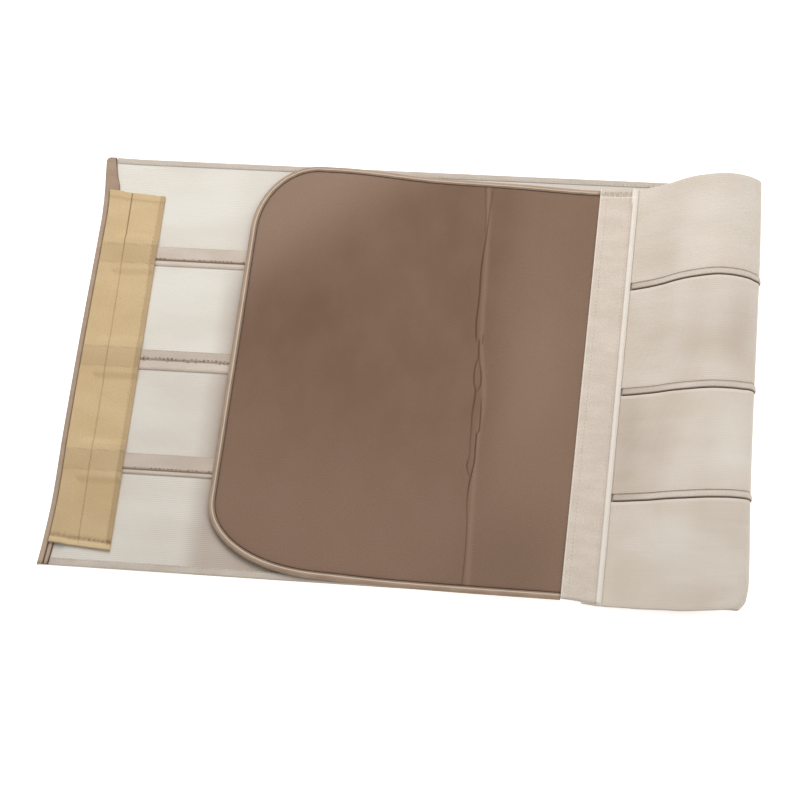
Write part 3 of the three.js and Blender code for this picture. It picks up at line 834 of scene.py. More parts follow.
def woven_material(name, light, dark, seam, lighter_and_highlight, weave, contrast, depth):
    """Woven tape: a twill of the given size in millimetres, with specks, the darker colour of its seams, and
    the lighter colour of its painted highlights and lighter places."""
    paint = Paint(name, sheen=0.12)
    patches = paint.noise(24, 10, 2)
    grain = paint.noise(weave * 0.9, weave * 0.7, 2)
    base = paint.blend(patches, 0.3, light, dark)
    base = paint.tint(base, grain, 0.45, 0.72, contrast, seam)
    base = paint.shaded(base, seam, lighter_and_highlight)
    twill = paint.waves(paint.add(paint.along, paint.across), weave)
    cross = paint.waves(paint.across, weave * 0.8)
    height = paint.add(twill, paint.times(cross, 0.6), paint.times(grain, 2.4))
    return paint.finish(base, grain, 0.8, 0.95, height, depth)


def hook_material():
    """Hook tape: rows of tiny hooks, which look like an even fine grain with a slight gloss."""
    paint = Paint("hook_tape", sheen=0.0, specular=0.4)
    patches = paint.noise(60, 26, 2)
    grain = paint.noise(1.3, 1.3, 2)
    base = paint.blend(patches, 0.3, "d6bb90", "cdb184")
    base = paint.tint(base, grain, 0.4, 0.7, 0.2, "b3966c")
    base = paint.shaded(base, "7d6044", "dfc9a2")
    rows = paint.math("MULTIPLY", paint.waves(paint.along, 1.5), paint.waves(paint.across, 1.2))
    height = paint.add(rows, paint.times(grain, 2))
    return paint.finish(base, grain, 0.55, 0.75, height, 0.07 * MM)


def loop_material():
    """Brushed loop cloth: short pile in soft patches, darker in the folds of its crease, from the crushed
    pile and from painted shade.
    """
    paint = Paint("loop_cloth", sheen=0.06, specular=0.12)
    patches = paint.noise(170, 140, 1)
    brushed = paint.noise(26, 40, 3)
    pile = paint.noise(1.1, 1.1, 3)
    base = paint.blend(patches, 0.3, "7f6451", "775d4b")
    base = paint.tint(base, paint.times(paint.across, -1), *LOOP_NEAR_LIGHT, 0.7, "907563")
    base = paint.tint(base, paint.along, *LOOP_RIGHT_LIGHT, 0.4, "967c69")
    # Painted light: the cloth grows lighter towards the far free corner
    diagonal = paint.add(paint.across, paint.times(paint.along, -1))
    base = paint.tint(base, diagonal, *LOOP_CORNER_PAINTED_LIGHT, 0.6, "a48a78")
    base = paint.tint(base, brushed, 0.35, 0.7, 0.25, "8f7564")
    base = paint.tint(base, pile, 0.4, 0.75, 0.16, "6b5343")
    base = paint.shaded(base, "5b4435", "a48a77")
    height = paint.add(paint.times(pile, 3), paint.times(brushed, 2))
    return paint.finish(base, pile, 0.88, 1, height, 0.1 * MM)


def thread_material(name, light, dark):
    """Sewing thread: a fine twist along each stitch."""
    paint = Paint(name, sheen=0.1, specular=0.35)
    grain = paint.noise(0.6, 0.6, 2)
    base = paint.blend(grain, 0.35, light, dark)
    return paint.finish(base, grain, 0.6, 0.8, grain, 0.05 * MM)


def floor_material():
    """Pale matte floor."""
    paint = Paint("studio_floor", specular=0.1)
    grain = paint.noise(400, 400, 2)
    base = paint.mix(grain, colour("fdfdfd"), colour("fbfbfa"))
    paint.shader.inputs["Emission Color"].default_value = colour("ffffff")
    paint.shader.inputs["Emission Strength"].default_value = FLOOR_GLOW
    return paint.finish(base, grain, 0.85, 0.95, grain, 0.01 * MM)


ELASTIC_OUTER = elastic_material("elastic_outer", "ded3c6", "d5c8b8", "b9ab9b", 0.1)
ELASTIC_INNER = elastic_material("elastic_inner", "e6e1d7", "dfd8cd", "c5bbae", 0.05)
SEAM_CLOTH = woven_material("seam_cloth", "dacfc2", "d1c4b6", "7b604c", "eee7dc", 1.6, 0.08, 0.03 * MM)
TAPE_CLOTH = woven_material("tape_cloth", "d6c9bb", "cdbfb0", "7a5a46", "e6dccf", 1.6, 0.08, 0.04 * MM)
HEM_CLOTH = woven_material("hem_cloth", "cfc4b7", "c4b7a9", "866d5d", "ded5c9", 1.5, 0.08, 0.04 * MM)
END_CLOTH = woven_material("end_cloth", "ae9781", "a28a76", "503a2d", "c2ab95", 1.7, 0.12, 0.04 * MM)
EDGE_CLOTH = woven_material("panel_edge_cloth", "b49b85", "a78d77", "5d4537", "e6d9c6", 1.2, 0.12, 0.04 * MM)
JOIN_CLOTH = woven_material("join_cloth", "ddd0c2", "d5c7b8", "8d7b6d", "f1e9de", 1.6, 0.12, 0.04 * MM)
HOOK_TAPE = hook_material()
LOOP_CLOTH = loop_material()
PALE_THREAD = thread_material("pale_thread", "dcd0c2", "b9ab9b")
BROWN_THREAD = thread_material("brown_thread", "7d6455", "5f4a3c")
HONEY_THREAD = thread_material("honey_thread", "cfb285", "b99c70")


def settle(piece, slot, *nodes):
    """The piece rides on the part's one body and stands for its CAD nodes."""
    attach(piece, "root")
    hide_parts(*nodes)
    return piece


def add_bands():
    """The four elastics, each from the joining tape round the fold to the left end."""
    slot = RIB_WIDTH / 2 + CLEARANCE

    def relief(along, profile):
        puckers = ripple(along, profile["across"][None, :], PUCKER_LENGTH, 11)
        edge = np.min([np.abs(profile["across"] - seam) for seam in SEAMS], axis=0)
        by_seam = np.exp(-edge / PUCKER_REACH)
        return PUCKER_DEPTH * puckers * by_seam[None, :] * np.where(profile["inside"], 0, 1)

    def tone(along, profile):
        across = profile["across"][None, :]
        # Painted highlight: a lighter line on the elastic's edge just below each seam
        below = [near_line(across, seam - slot - HIGHLIGHT_GAP, HIGHLIGHT_WIDTH) for seam in SEAMS]
        from_end = along[-1] - along
        # Painted shadow of the loop panel on the inner cloth beside its free end, weaker on the far band
        by_panel = smooth_step(from_end, PANEL_PLACE - PANEL_SHADOW, PANEL_PLACE)
        by_panel = by_panel * (0.25 + 0.75 * smooth_step(-across, -0.55 * HALF, -0.35 * HALF))
        near = smooth_step(-across, NEAR_TONE_START, NEAR_TONE_END)
        painted_shadow_and_near_tone = 0.36 * by_panel + 0.1 * near
        # Painted shading of the outer face: soft darker bands along the hump, and lighter and darker patches
        # from HUMP_PATCHES
        painted_hump_shading = 0.04 * (1 + ripple(along, 0.2 * across, HUMP_SHADING_LENGTH, 41))
        painted_hump_shading = painted_hump_shading + patch_tone(HUMP_PATCHES, (along - JOIN_TAPE_WIDTH / 2) / HUMP_RUN, across / HALF)
        return np.where(profile["inside"], painted_shadow_and_near_tone, painted_hump_shading - 0.6 * np.max(below, axis=0))

    bands = []
    for i in range(len(BAND_SHARES)):
        high = HALF if i == 0 else SEAMS[i - 1] - slot
        low = -HALF if i == len(BAND_SHARES) - 1 else SEAMS[i] + slot
        profile = strip_profile(low, high, INNER_FACE, OUTER_FACE)
        materials = (ELASTIC_OUTER, ELASTIC_INNER)
        name = f"elastic_band_{i + 1}"
        band = band_sweep(name, profile, 0, BAND_END, materials, relief, tone)
        bands.append(settle(band, "elastic", f"{name}_front", f"{name}_back"))
    return bands


def thinned(profile, edge, width, drop):
    """Outline of a strip whose showing face slopes down to the cloth below it along one edge."""
    showing = np.where(profile["inside"], 1, 0)
    away = np.abs(profile["across"] - edge)
    profile["out"] = profile["out"] + showing * drop * (1 - smooth_step(away, 0, width))


def add_ribs():
    """Raised seams between the elastics on the outer face, darker beside the joining tape."""

    def tone(along, profile):
        top = 1 - np.minimum(profile["shade"], 1)
        return 0.24 * top[None, :] * (1 - smooth_step(along, 0.15 * HUMP_RUN, 0.6 * HUMP_RUN))

    ribs = []
    for i, seam in enumerate(SEAMS):
        across = seam + RIB["across"] * RIB_WIDTH / 2
        out = OUTER_FACE + RIB["rise"] * RIB_PROUD
        profile = {"across": across, "out": out, "shade": RIB["shade"]}
        name = f"seam_rib_{i + 1}"
        rib = band_sweep(name, profile, RIB_START, BAND_END, (SEAM_CLOTH,), None, tone)
        ribs.append(settle(rib, "seam_tape", f"{name}_front", f"{name}_back"))
    return ribs


def add_tapes():
    """Tapes over the seams on the inner face, each with a stitched groove and a lower near flange."""
    tapes = []
    tones = zip(SEAMS, TAPE_GROOVES, TAPE_GROOVE_SHADES, TAPE_TONES)
    for i, (seam, groove, strength, tone) in enumerate(tones):
        low, high = seam - SEAM_TAPE_WIDTH / 2, seam + SEAM_TAPE_WIDTH / 2
        profile = strip_profile(low, high, TAPE_FAR, TAPE_NEAR, TAPE_STEP)
        across = profile["across"]
        line = near_line(across, seam + groove, TAPE_GROOVE_WIDTH)
        lower = 1 - smooth_step(across, seam + groove - 0.6 * MM, seam + groove + 0.2 * MM)
        showing = np.where(profile["inside"], 1, 0)
        profile["out"] = profile["out"] + showing * (TAPE_GROOVE_DEPTH * line + TAPE_FLANGE_DROP * lower)
        thinned(profile, low, TAPE_EDGE_RUN, TAPE_EDGE_DROP)
        edges = 0.35 * near_line(across, low + 0.5 * MM, 0.5 * MM) + 0.3 * near_line(across, high, 0.6 * MM)
        profile["shade"] = showing * (strength * line + edges + (tone - 0.28 * lower) * (1 - line))
        del profile["inside"]
        name = f"seam_tape_{i + 1}"
        tapes.append(settle(band_sweep(name, profile, 0, TAPE_END, (TAPE_CLOTH,)), "seam_tape", name))
    return tapes


def add_hems():
    """Turned hems along the two long edges, on the inner face."""
    hems = []
    for name, low, high in (
        ("hem_far", HALF - FAR_HEM_WIDTH, HALF),
        ("hem_near", -HALF, NEAR_HEM_WIDTH - HALF),
    ):
        profile = strip_profile(low, high, TAPE_FAR, TAPE_NEAR, HEM_STEP)
        is_far = high == HALF
        edge, slope = (low, FAR_HEM_SLOPE) if is_far else (high, NEAR_HEM_SLOPE)
        thinned(profile, edge, slope, HEM_DROP)
        # Painted light on the far hem lightens the slope of its inner edge
        profile["shade"] = -0.9 * (1 - smooth_step(profile["across"] - low, 0, slope)) * is_far
        del profile["inside"]
        hems.append(settle(band_sweep(name, profile, 0, HEM_END, (HEM_CLOTH,)), "hem", name))
    return hems


def add_end_binding():
    """Rolled binding on the left end, swept across the band. It lies flat beyond the hook strip's far end,
    and its far corner is round."""
    straight = np.linspace(-HALF, HALF - CORNER_ROUND, BINDING_LINES)
    across = np.concatenate([straight, HALF - CORNER_ROUND * CORNER_STEPS])
    end = band_line(across)[0][-1][:, None, :]
    line = across[:, None]
    flange_face = OUTER_FACE + CLEARANCE
    flange = END_FLANGE_WIDTH * read(END, "across", "flange", line / HALF)
    rolled = 1 - smooth_step(line, HOOK_FAR_END - ROLL_FADE, HOOK_FAR_END + ROLL_FADE_END)
    inward = END_BINDING["inward"] * MM + END_BINDING["flange"] * flange
    cut = CORNER_ROUND - np.maximum(HALF - line, 0)
    corner = CORNER_ROUND - np.sqrt(np.maximum(CORNER_ROUND**2 - np.maximum(cut, 0) ** 2, 0))
    inward = np.maximum(inward, corner - BINDING_WALL + 0.3 * (inward + BINDING_WALL))
    up = (END_BINDING["up"] + END_BINDING["roll"] * rolled) * MM
    # Painted shadow along the flange's inner edge, full at the far corner and where the roll is
    by_corner = smooth_step(line, HALF - CORNER_SHADOW, HALF - CORNER_SHADOW_FULL)
    edge = END_BINDING["edge"] * (0.45 + 0.55 * np.maximum(by_corner, rolled))
    # Painted light on the roll, stronger at its near part
    near_end = 1 - smooth_step(line, HOOK_NEAR_END - ROLL_LIGHT_NEAR_START, HOOK_NEAR_END + ROLL_LIGHT_NEAR_END)
    lighter_and_highlight = (0.3 + 0.4 * near_end) * rolled * (END_BINDING["roll"] > 0.05)
    shade = np.maximum(END_BINDING["groove"] * rolled, edge) - lighter_and_highlight
    rings = end + np.stack([inward, 0 * inward, flange_face + up], axis=-1)
    cloth = together(inward, line, shade)
    return settle(sweep("end_binding", rings, cloth, (END_CLOTH,)), "end_binding", "end_binding")


def hook_surface(inward, across):
    """Lower face of the hook strip, inward from its left edge and at places across."""
    margin = HOOK_DROP + 1 * MM
    flange = BINDING_ZONE - END_ROLL_WIDTH
    over = 1 - smooth_step(inward, flange + 2 * CLEARANCE, flange + HOOK_STEP_RUN)
    for seam in SEAMS:
        away = np.abs(across - seam) - SEAM_TAPE_WIDTH / 2 - margin
        over = np.maximum(over, 1 - smooth_step(away, 0, HOOK_STEP_RUN))
    return HOOK_ON_BANDS + (HOOK_ON_TAPES - HOOK_ON_BANDS) * over


def hook_place(line):
    """Left edge and width of the hook strip along one of its lines across."""
    share = (line - HOOK_NEAR_END) / HOOK_LENGTH
    inset = END_ROLL_WIDTH + CLEARANCE - END_FLARE * read(END, "across", "flare", line / HALF)
    reach = HOOK_NEAR_REACH + (HOOK_FAR_REACH - HOOK_NEAR_REACH) * share
    return LEFT_X + inset, reach - inset


def tape_below(across):
    """Shade of the hook strip where a seam tape lies under it."""
    shade = 0
    for seam in SEAMS:
        away = np.abs(across - seam) - SEAM_TAPE_WIDTH / 2
        over = 1 - smooth_step(away, -TAPE_SHOW_WIDTH, TAPE_SHOW_WIDTH)
        shade = shade + 0.16 * over + 0.2 * near_line(away, 0, TAPE_SHOW_WIDTH)
    return shade


def add_hook_strip():
    """Hook strip with a lengthwise crease, a turned right edge and two turned ends."""
    lines = np.linspace(HOOK_NEAR_END, HOOK_FAR_END, HOOK_LINES)
    profile = strip_profile(0, HOOK_FAR_REACH, 0, HOOK_THICKNESS, HOOK_STEP)
    showing = np.where(profile["inside"], 0, 1)
    rings, cloth = [], []
    for line in lines:
        share = (line - HOOK_NEAR_END) / HOOK_LENGTH
        left, width = hook_place(line)
        crease = LEFT_X + END_ROLL_WIDTH + CLEARANCE - left
        crease = crease + HOOK_CREASE_PLACE + HOOK_CREASE_LEAN * (1 - 2 * share)
        inward, up = profile["across"] * width / HOOK_FAR_REACH, profile["out"]
        across = line - HOOK_DROP * inward / width
        groove = near_line(inward, crease, HOOK_CREASE_WIDTH)
        turned = smooth_step(inward, width - HOOK_EDGE_TURN, width - HOOK_EDGE_TURN + 0.6 * MM)
        from_far, from_near = HOOK_FAR_END - line, line - HOOK_NEAR_END
        far_turn = 1 - smooth_step(from_far, HOOK_TURN - 0.5 * MM, HOOK_TURN)
        far_line = near_line(from_far, HOOK_TURN, HOOK_CREASE_WIDTH)
        near_turn = 1 - smooth_step(from_near, HOOK_NEAR_TURN - 0.8 * MM, HOOK_NEAR_TURN)
        press_line = HOOK_TURN + PRESS_WANDER * ripple(inward, line, 6 * MM, 31)
        press = near_line(from_near, press_line, PRESS_WIDTH)
        wave = HOOK_WAVE * ripple(inward, line, HOOK_WAVE_LENGTH, 5)
        rise = HOOK_TURN_RISE * np.maximum(np.maximum(turned, far_turn), near_turn)
        sunk = HOOK_CREASE_DEPTH * groove + PRESS_DEPTH * press
        up = up + showing * (rise - sunk + wave)
        base = hook_surface(inward, across)
        rings.append(np.stack([left + inward, MIDDLE_Y + across, base + up], axis=-1))
        # Painted shade darkens the crease, most in its far part
        shade = groove * (0.3 + 0.7 * smooth_step(share, 0.78, 0.92)) + 0.3 * turned + 0.5 * far_line
        shade = shade + 0.5 * press * (0.8 + 0.4 * ripple(inward, line, 3 * MM, 33)) - 0.35 * near_turn
        shade = shade + 0.14 * (1 - smooth_step(share, 0, 0.35)) * (1 - near_turn)
        shade = shade + tape_below(across)
        cloth.append(np.stack([inward, across, showing * np.minimum(shade, 1)], axis=-1))
    return settle(sweep("hook_strip", np.array(rings), np.array(cloth), (HOOK_TAPE,)), "hook", "hook_strip")


# Free corners of the loop panel, quarter ellipses: the side of the band, their run along and reach across
CORNERS = (
    (1, FAR_CORNER_RUN, FAR_CORNER_REACH),
    (-1, NEAR_CORNER_RUN, NEAR_CORNER_REACH),
)


def corner_line(corner, turn, inset=0):
    """A free corner's line in from the panel's outer one: places along and across, and directions out. The
    turn runs from the free end to the long side."""
    side, run, reach = corner
    out = np.stack([-np.cos(turn) / run, np.sin(turn) / reach])
    out /= np.linalg.norm(out, axis=0)
    x = PANEL_LEFT + run * (1 - np.cos(turn)) - out[0] * inset
    away = HALF - reach * (1 - np.sin(turn)) - out[1] * inset
    return np.stack([x, side * away, out[0], side * out[1]])


def panel_reach(corner, x, inset):
    """How far the panel reaches across at x on a corner's side, in from its outer line."""
    places, across = corner_line(corner, np.linspace(0, math.pi / 2, 200), inset)[:2]
    return np.interp(x, places, np.abs(across))


def from_corner(corner, x, across, inset):
    """Distance in from the panel's edge, round a free corner and along the two straight edges beside it."""
    side, run, reach = corner
    run, reach = run - inset, reach - inset
    along = max(PANEL_LEFT + inset + run - x, 0)
    away = np.maximum(side * across - (HALF - inset - reach), 0)
    size = np.hypot(along / run, away / reach)
    steep = np.hypot(along / run**2, away / reach**2)
    return np.where(size > SMALLEST, (1 - size) * size / np.maximum(steep, SMALLEST), reach)


def crease_shift(share):
    """How far the crease leaves its own place, at a share of half the height."""
    return CREASE_REACH * read(CREASE, "across", "shift", share)


def crease_relief(x, share):
    """Depth of the crease's dark folds from 0 to 1."""
    total = 0 * x
    for fold in CREASE_FOLDS:
        line = CREASE_X + read(fold, "across", "shift", share) * MM
        inside = (share > fold["across"][0]) & (share < fold["across"][-1])
        depth = np.where(inside, read(fold, "across", "depth", share), 0)
        total = np.maximum(total, depth * near_line(x, line, CREASE_LINE_WIDTH))
    return total


def panel_columns(inset):
    """Places along the loop panel, close together at its round corners and at the crease."""
    turn = np.linspace(0, math.pi / 2, 36)
    corner = PANEL_LEFT + inset + (NEAR_CORNER_RUN - inset) * (1 - np.cos(turn))
    crease_left = CREASE_X - CREASE_ZONE
    crease_right = CREASE_X + CREASE_ZONE
    before = np.linspace(corner[-1], crease_left, 24)[1:]
    crease = np.linspace(crease_left, crease_right, 54)[1:]
    after = np.linspace(crease_right, JOIN_LEFT, 24)[1:]
    under = np.array([JOIN_MIDDLE - CLEARANCE / 2])
    return np.concatenate([corner, before, crease, after, under])


def add_loop_panel():
    """Padded loop panel with round free corners, a soft edge down to its binding, and the crease."""
    inset = PANEL_BINDING_WIDTH + CLEARANCE
    rows = np.linspace(-1, 1, PANEL_LINES)
    rows = np.sign(rows) * (1 - (1 - np.abs(rows)) ** 1.15)
    rings, cloth = [], []
    for column in panel_columns(inset):
        far, near = (panel_reach(corner, column, inset) for corner in CORNERS)
        across = (far - near) / 2 + rows * (far + near) / 2
        share = across / HALF
        fade = 1 - smooth_step(abs(column - CREASE_X), CREASE_REACH, CREASE_REACH + CREASE_FADE)
        lean = JOIN_LEAN * share * smooth_step(column, CREASE_X + CREASE_REACH, JOIN_LEFT)
        x = column + crease_shift(share) * fade + lean
        to_edge = [from_corner(corner, column, across, inset) for corner in CORNERS]
        to_edge = np.minimum(*to_edge)
        sunk = np.exp(-np.maximum(to_edge, 0) / EDGE_REACH)
        crease_x = CREASE_X + crease_shift(share)
        folds = crease_relief(x, share)
        ridges = [near_line(x, crease_x + place, RIDGE_WIDTH) for place in (-RIDGE_PLACE, RIDGE_PLACE)]
        uneven = PANEL_WAVE * ripple(x, across, PANEL_WAVE_LENGTH, 7) * (1 - sunk)
        top = PANEL_TOP - EDGE_DEPTH * sunk + CREASE_RIDGE * sum(ridges) - CREASE_DEPTH * folds + uneven
        y = MIDDLE_Y + front_across(x, across)
        upper = np.stack([x, y, top], axis=-1)
        lower = np.stack([x, y, PANEL_BOTTOM + 0 * x], axis=-1)
        rings.append(np.concatenate([upper, lower[::-1]]))
        # Painted shade darkens the crease's folds, and a painted highlight lies along the ridge beside the
        # crease
        shade = np.maximum(folds, 0.3 * np.exp(-np.maximum(to_edge, 0) / EDGE_SHADE_REACH))
        shade = shade - 0.3 * near_line(x, crease_x + RIDGE_PLACE, RIDGE_SHINE) * (1 - folds)
        # Painted light and shade in soft patches from PANEL_PATCHES
        shade = shade + patch_tone(PANEL_PATCHES, (x - CREASE_X) / PANEL_LENGTH, share)
        above = np.stack([x, across, shade], axis=-1)
        below = np.stack([x, across, 0 * x], axis=-1)
        cloth.append(np.concatenate([above, below[::-1]]))
    panel = sweep("loop_panel", np.array(rings), np.array(cloth), (LOOP_CLOTH,))
    return settle(panel, "loop", "loop_panel")


def panel_outline():
    """Outer line of the panel's binding from the joint round the free end and back: places along and across,
    and the directions out."""
    lines = []
    turn = np.linspace(0, math.pi / 2, TURN_STEPS)
    for corner in CORNERS:
        side, run, _ = corner
        along = np.linspace(PANEL_LEFT + run, JOIN_LEFT - CLEARANCE, SIDE_STEPS)[1:]
        long_side = np.stack([along, 0 * along + side * HALF, 0 * along, 0 * along + side])
        lines.append(np.concatenate([corner_line(corner, turn), long_side], axis=1).T)
    far_side, near_side = lines
    free = np.linspace(HALF - FAR_CORNER_REACH, NEAR_CORNER_REACH - HALF, SIDE_STEPS)[1:-1]
    free_end = np.stack([0 * free + PANEL_LEFT, free, 0 * free - 1, 0 * free], axis=1)
    return np.concatenate([far_side[::-1], free_end, near_side])


def add_panel_binding():
    """Rolled binding round the free end and the two long sides of the loop panel."""
    outline = panel_outline()
    steps = np.linalg.norm(np.diff(outline[:, :2], axis=0), axis=-1)
    along = np.concatenate([[0], np.cumsum(steps)])[:, None]
    inward = BINDING["inward"] * PANEL_BINDING_WIDTH
    up = PANEL_TOP + BINDING["rise"] * PANEL_BINDING_RISE
    foot = PANEL_BOTTOM
    inward = np.concatenate([inward, np.array((0.85, 0.5, 0.15)) * PANEL_BINDING_WIDTH])
    up = np.concatenate([up, [foot, foot, foot]])[None, :]
    shade = np.concatenate([BINDING["shade"], [0.3, 0, 0]])[None, :]
    inward = inward[None, :] + 0 * along
    up = up + 0.12 * MM * ripple(along, inward, 14 * MM, 9) * (up > PANEL_TOP)
    x = outline[:, :1] - outline[:, 2:3] * inward
    across = outline[:, 1:2] - outline[:, 3:4] * inward
    x = x + JOIN_LEAN * across / HALF * smooth_step(x, CREASE_X + CREASE_REACH, JOIN_LEFT)
    rings = np.stack([x, MIDDLE_Y + front_across(x, across), up], axis=-1)
    cloth = together(along, inward, shade)
    piece = sweep("panel_binding", rings, cloth, (EDGE_CLOTH,))
    return settle(piece, "panel_binding", "panel_binding")


def tape_place(x, across):
    """Plan place on the joining tape, for a place along the band before the tape's lean."""
    return together(x + JOIN_LEAN * across / HALF, MIDDLE_Y + front_across(x, across))


def add_joining_tape():
    """Joining tape over the joint of loop panel and elastics, with a lip along its right edge and its far
    end turned under."""
    plain = np.linspace(-HALF, HALF - FINE_END, JOIN_LINES)
    fine = np.linspace(HALF - FINE_END + SOFT_EDGE, HALF, JOIN_FINE_LINES)
    lines = np.concatenate([plain, fine])[:, None]
    bottom = PANEL_TOP + CLEARANCE
    profile = strip_profile(JOIN_LEFT, JOIN_RIGHT, bottom, bottom + JOIN_TAPE_THICKNESS, HEM_STEP)
    x = profile["across"][None, :]
    showing = np.where(profile["inside"], 0, 1)[None, :]
    wide = smooth_step(lines, HALF - WIDE_LIP_REACH, HALF - WIDE_LIP_REACH + 2 * MM)
    lip_width = LIP_WIDTH + WIDE_LIP_MORE * wide
    lip_left = JOIN_RIGHT - lip_width
    lip = smooth_step(x, lip_left - LINE_WIDTH, lip_left + 0.2 * MM)
    left = 1 - smooth_step(x, JOIN_LEFT + 0.9 * MM, JOIN_LEFT + 1.4 * MM)
    turned = smooth_step(lines, HALF - JOIN_END_FOLD - SOFT_EDGE, HALF - JOIN_END_FOLD)
    rise = LIP_PROUD * lip + 0.15 * MM * left + JOIN_END_RISE * turned * (1 - lip)
    rise = rise + JOIN_WAVE * ripple(x, lines, 16 * MM, 21)
    rise = rise - LIP_EDGE_DROP * smooth_step(x, JOIN_RIGHT - LIP_EDGE_RUN, JOIN_RIGHT)
    up = profile["out"][None, :] + showing * rise
    shade = showing * 0.3 * near_line(x, lip_left - 0.3 * MM, LINE_WIDTH) + 0 * lines
    rough = 0.5 + 0.5 * ripple(x, lines, 2.4 * MM, 23)
    from_end = HALF - lines
    zone_start, zone_end = STITCH_ZONE
    folded = 1 - smooth_step(from_end, zone_end - SOFT_EDGE, zone_end)
    folded = folded * smooth_step(from_end, zone_start, zone_start + SOFT_EDGE)
    shade = shade + showing * 0.5 * folded * rough * (1 - lip)
    shade = shade - showing * 0.6 * near_line(from_end, END_CREASE, LINE_WIDTH)
    # Painted highlights: the lip and a thin line along the left edge are lighter
    shade = shade - showing * 0.8 * smooth_step(x, lip_left, lip_left + 0.6 * MM)
    shade = shade - showing * 0.6 * near_line(x, JOIN_LEFT + SOFT_EDGE, LINE_WIDTH)
    plan = tape_place(x, lines)
    rings = np.concatenate([plan, np.broadcast_to(up[..., None], (*plan.shape[:2], 1))], axis=-1)
    cloth = together(x, lines, shade)
    piece = sweep("joining_tape", rings, cloth, (JOIN_CLOTH,))
    return settle(piece, "joining_tape", "joining_tape")


# One stitch along +X: places along as shares of half its length, rises and sizes as shares of its thickness
STITCH = table("along rise size", (-1, -0.5, 0.35), (-0.55, 0.2, 0.9), (0.55, 0.2, 0.9), (1, -0.5, 0.35))
STITCH_SIDES = 5

# Threads: length and thickness in millimetres, unevenness, seed, the share that shows, material and slot
THREADS = {
    "stitches_ribs": (1.7, 0.22, 0, 1, 1, PALE_THREAD, "seam_tape"),
    "stitches_tapes": (1.6, 0.42, 0.9, 4, 0.55, BROWN_THREAD, "seam_tape"),
    "stitches_tapes_pale": (1.8, 0.42, 1.2, 5, 0.5, PALE_THREAD, "seam_tape"),
    "stitches_hems": (1.8, 0.32, 0, 1, 1, PALE_THREAD, "hem"),
    "stitches_joining_tape": (1.7, 0.3, 0.15, 1, 1, PALE_THREAD, "joining_tape"),
    "stitches_hook_strip": (1.9, 0.24, 0.1, 1, 1, HONEY_THREAD, "hook"),
    "stitches_hook_end": (1.4, 0.34, 0.8, 6, 1, BROWN_THREAD, "hook"),
}


def stitch_places(points, ups, spacing):
    """Middles, directions and ups of even stitches along a line of points."""
    steps = np.linalg.norm(np.diff(points, axis=0), axis=-1)
    along = np.concatenate([[0], np.cumsum(steps)])
    count = int(along[-1] / spacing)
    middles = (np.arange(count) + 0.5) * along[-1] / count
    places = []
    for middle in middles:
        i = int(np.clip(np.searchsorted(along, middle, "right") - 1, 0, len(steps) - 1))
        t = (middle - along[i]) / steps[i]
        place = points[i] * (1 - t) + points[i + 1] * t
        places.append((place, (points[i + 1] - points[i]) / steps[i], ups[i]))
    return places


def flat_stitches(points, spacing):
    """Even stitches along a line of points on a face that looks up."""
    return stitch_places(points, np.tile((0.0, 0.0, 1.0), (len(points), 1)), spacing)


def band_stitches(across, offset, first, last, spacing):
    """Even stitches along the band, at one place across and one distance from its middle."""
    points, out, _ = band_line([across])
    points, out = points[first : last + 1, 0], out[first : last + 1, 0]
    return stitch_places(points + out * offset, out * np.sign(offset), spacing)


def add_stitches(name, places):
    """One joined mesh of small threads, each sunk into the cloth at its two ends. Only a share of them is
    kept where the seam hides the others."""
    length, thickness, unevenness, seed, kept, material, slot = THREADS[name]
    length, thickness = length * MM, thickness * MM
    draw = random.Random(seed)
    places = [place for place in places if draw.random() < kept]
    turn = np.arange(STITCH_SIDES) * math.tau / STITCH_SIDES
    points, faces, cloth = [], [], []
    for number, (place, way, up) in enumerate(places):
        swing = draw.uniform(-1, 1) * unevenness
        size = length * (1 + draw.uniform(-0.5, 0.2) * min(unevenness, 1))
        side = np.cross(up, way)
        side /= np.linalg.norm(side)
        rise = np.cross(way, side)
        way = way * math.cos(swing) + side * math.sin(swing)
        side = np.cross(rise, way)
        first = len(points)
        for along, lift, share in zip(*STITCH.values()):
            middle = place + way * along * size / 2 + rise * lift * thickness
            for angle in turn:
                reach = share * thickness / 2
                points.append(middle + side * reach * math.cos(angle) + rise * reach * math.sin(angle))
                cloth.append((along * size / 2 + number * size, reach * angle, 0))
        last = len(points) - STITCH_SIDES
        for ring in range(first, last, STITCH_SIDES):
            for j in range(STITCH_SIDES):
                k = (j + 1) % STITCH_SIDES
                faces.append((ring + j, ring + k, ring + STITCH_SIDES + k, ring + STITCH_SIDES + j))
        for end in (first, last):
            faces.append(tuple(range(end, end + STITCH_SIDES)))
    piece = add_mesh(name, [tuple(p) for p in points], faces, cloth, (material,))
    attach(piece, "root")
    return piece


def add_seam_stitches():
    """Even stitches along the outer seams, and uneven overlocked ones in the grooves of the inner tapes."""
    outer, dark, pale = [], [], []
    for seam, groove, rows in zip(SEAMS, TAPE_GROOVES, TAPE_STITCH_ROWS):
        across = seam - 0.3 * RIB_WIDTH / 2
        outer += band_stitches(across, OUTER_FACE + RIB_PROUD, RIB_START, BAND_END, RIB_SPACING)
        for row in rows:
            across = seam + groove + row * MM
            dark += band_stitches(across, TAPE_FAR, FOLD_END, TAPE_END, DARK_SPACING)
            across = seam + groove + (row + 0.5) * MM
            pale += band_stitches(across, TAPE_FAR, FOLD_END, TAPE_END, PALE_SPACING)
    ribs = add_stitches("stitches_ribs", outer)
    return ribs, add_stitches("stitches_tapes", dark), add_stitches("stitches_tapes_pale", pale)


def add_hem_stitches():
    """Stitches along the two hems."""
    places = []
    for across in (HALF - FAR_HEM_WIDTH + HEM_STITCH_INSET, NEAR_HEM_WIDTH - HALF - HEM_STITCH_INSET):
        places += band_stitches(across, TAPE_FAR, FOLD_END, TAPE_END, HEM_SPACING)
    return add_stitches("stitches_hems", places)


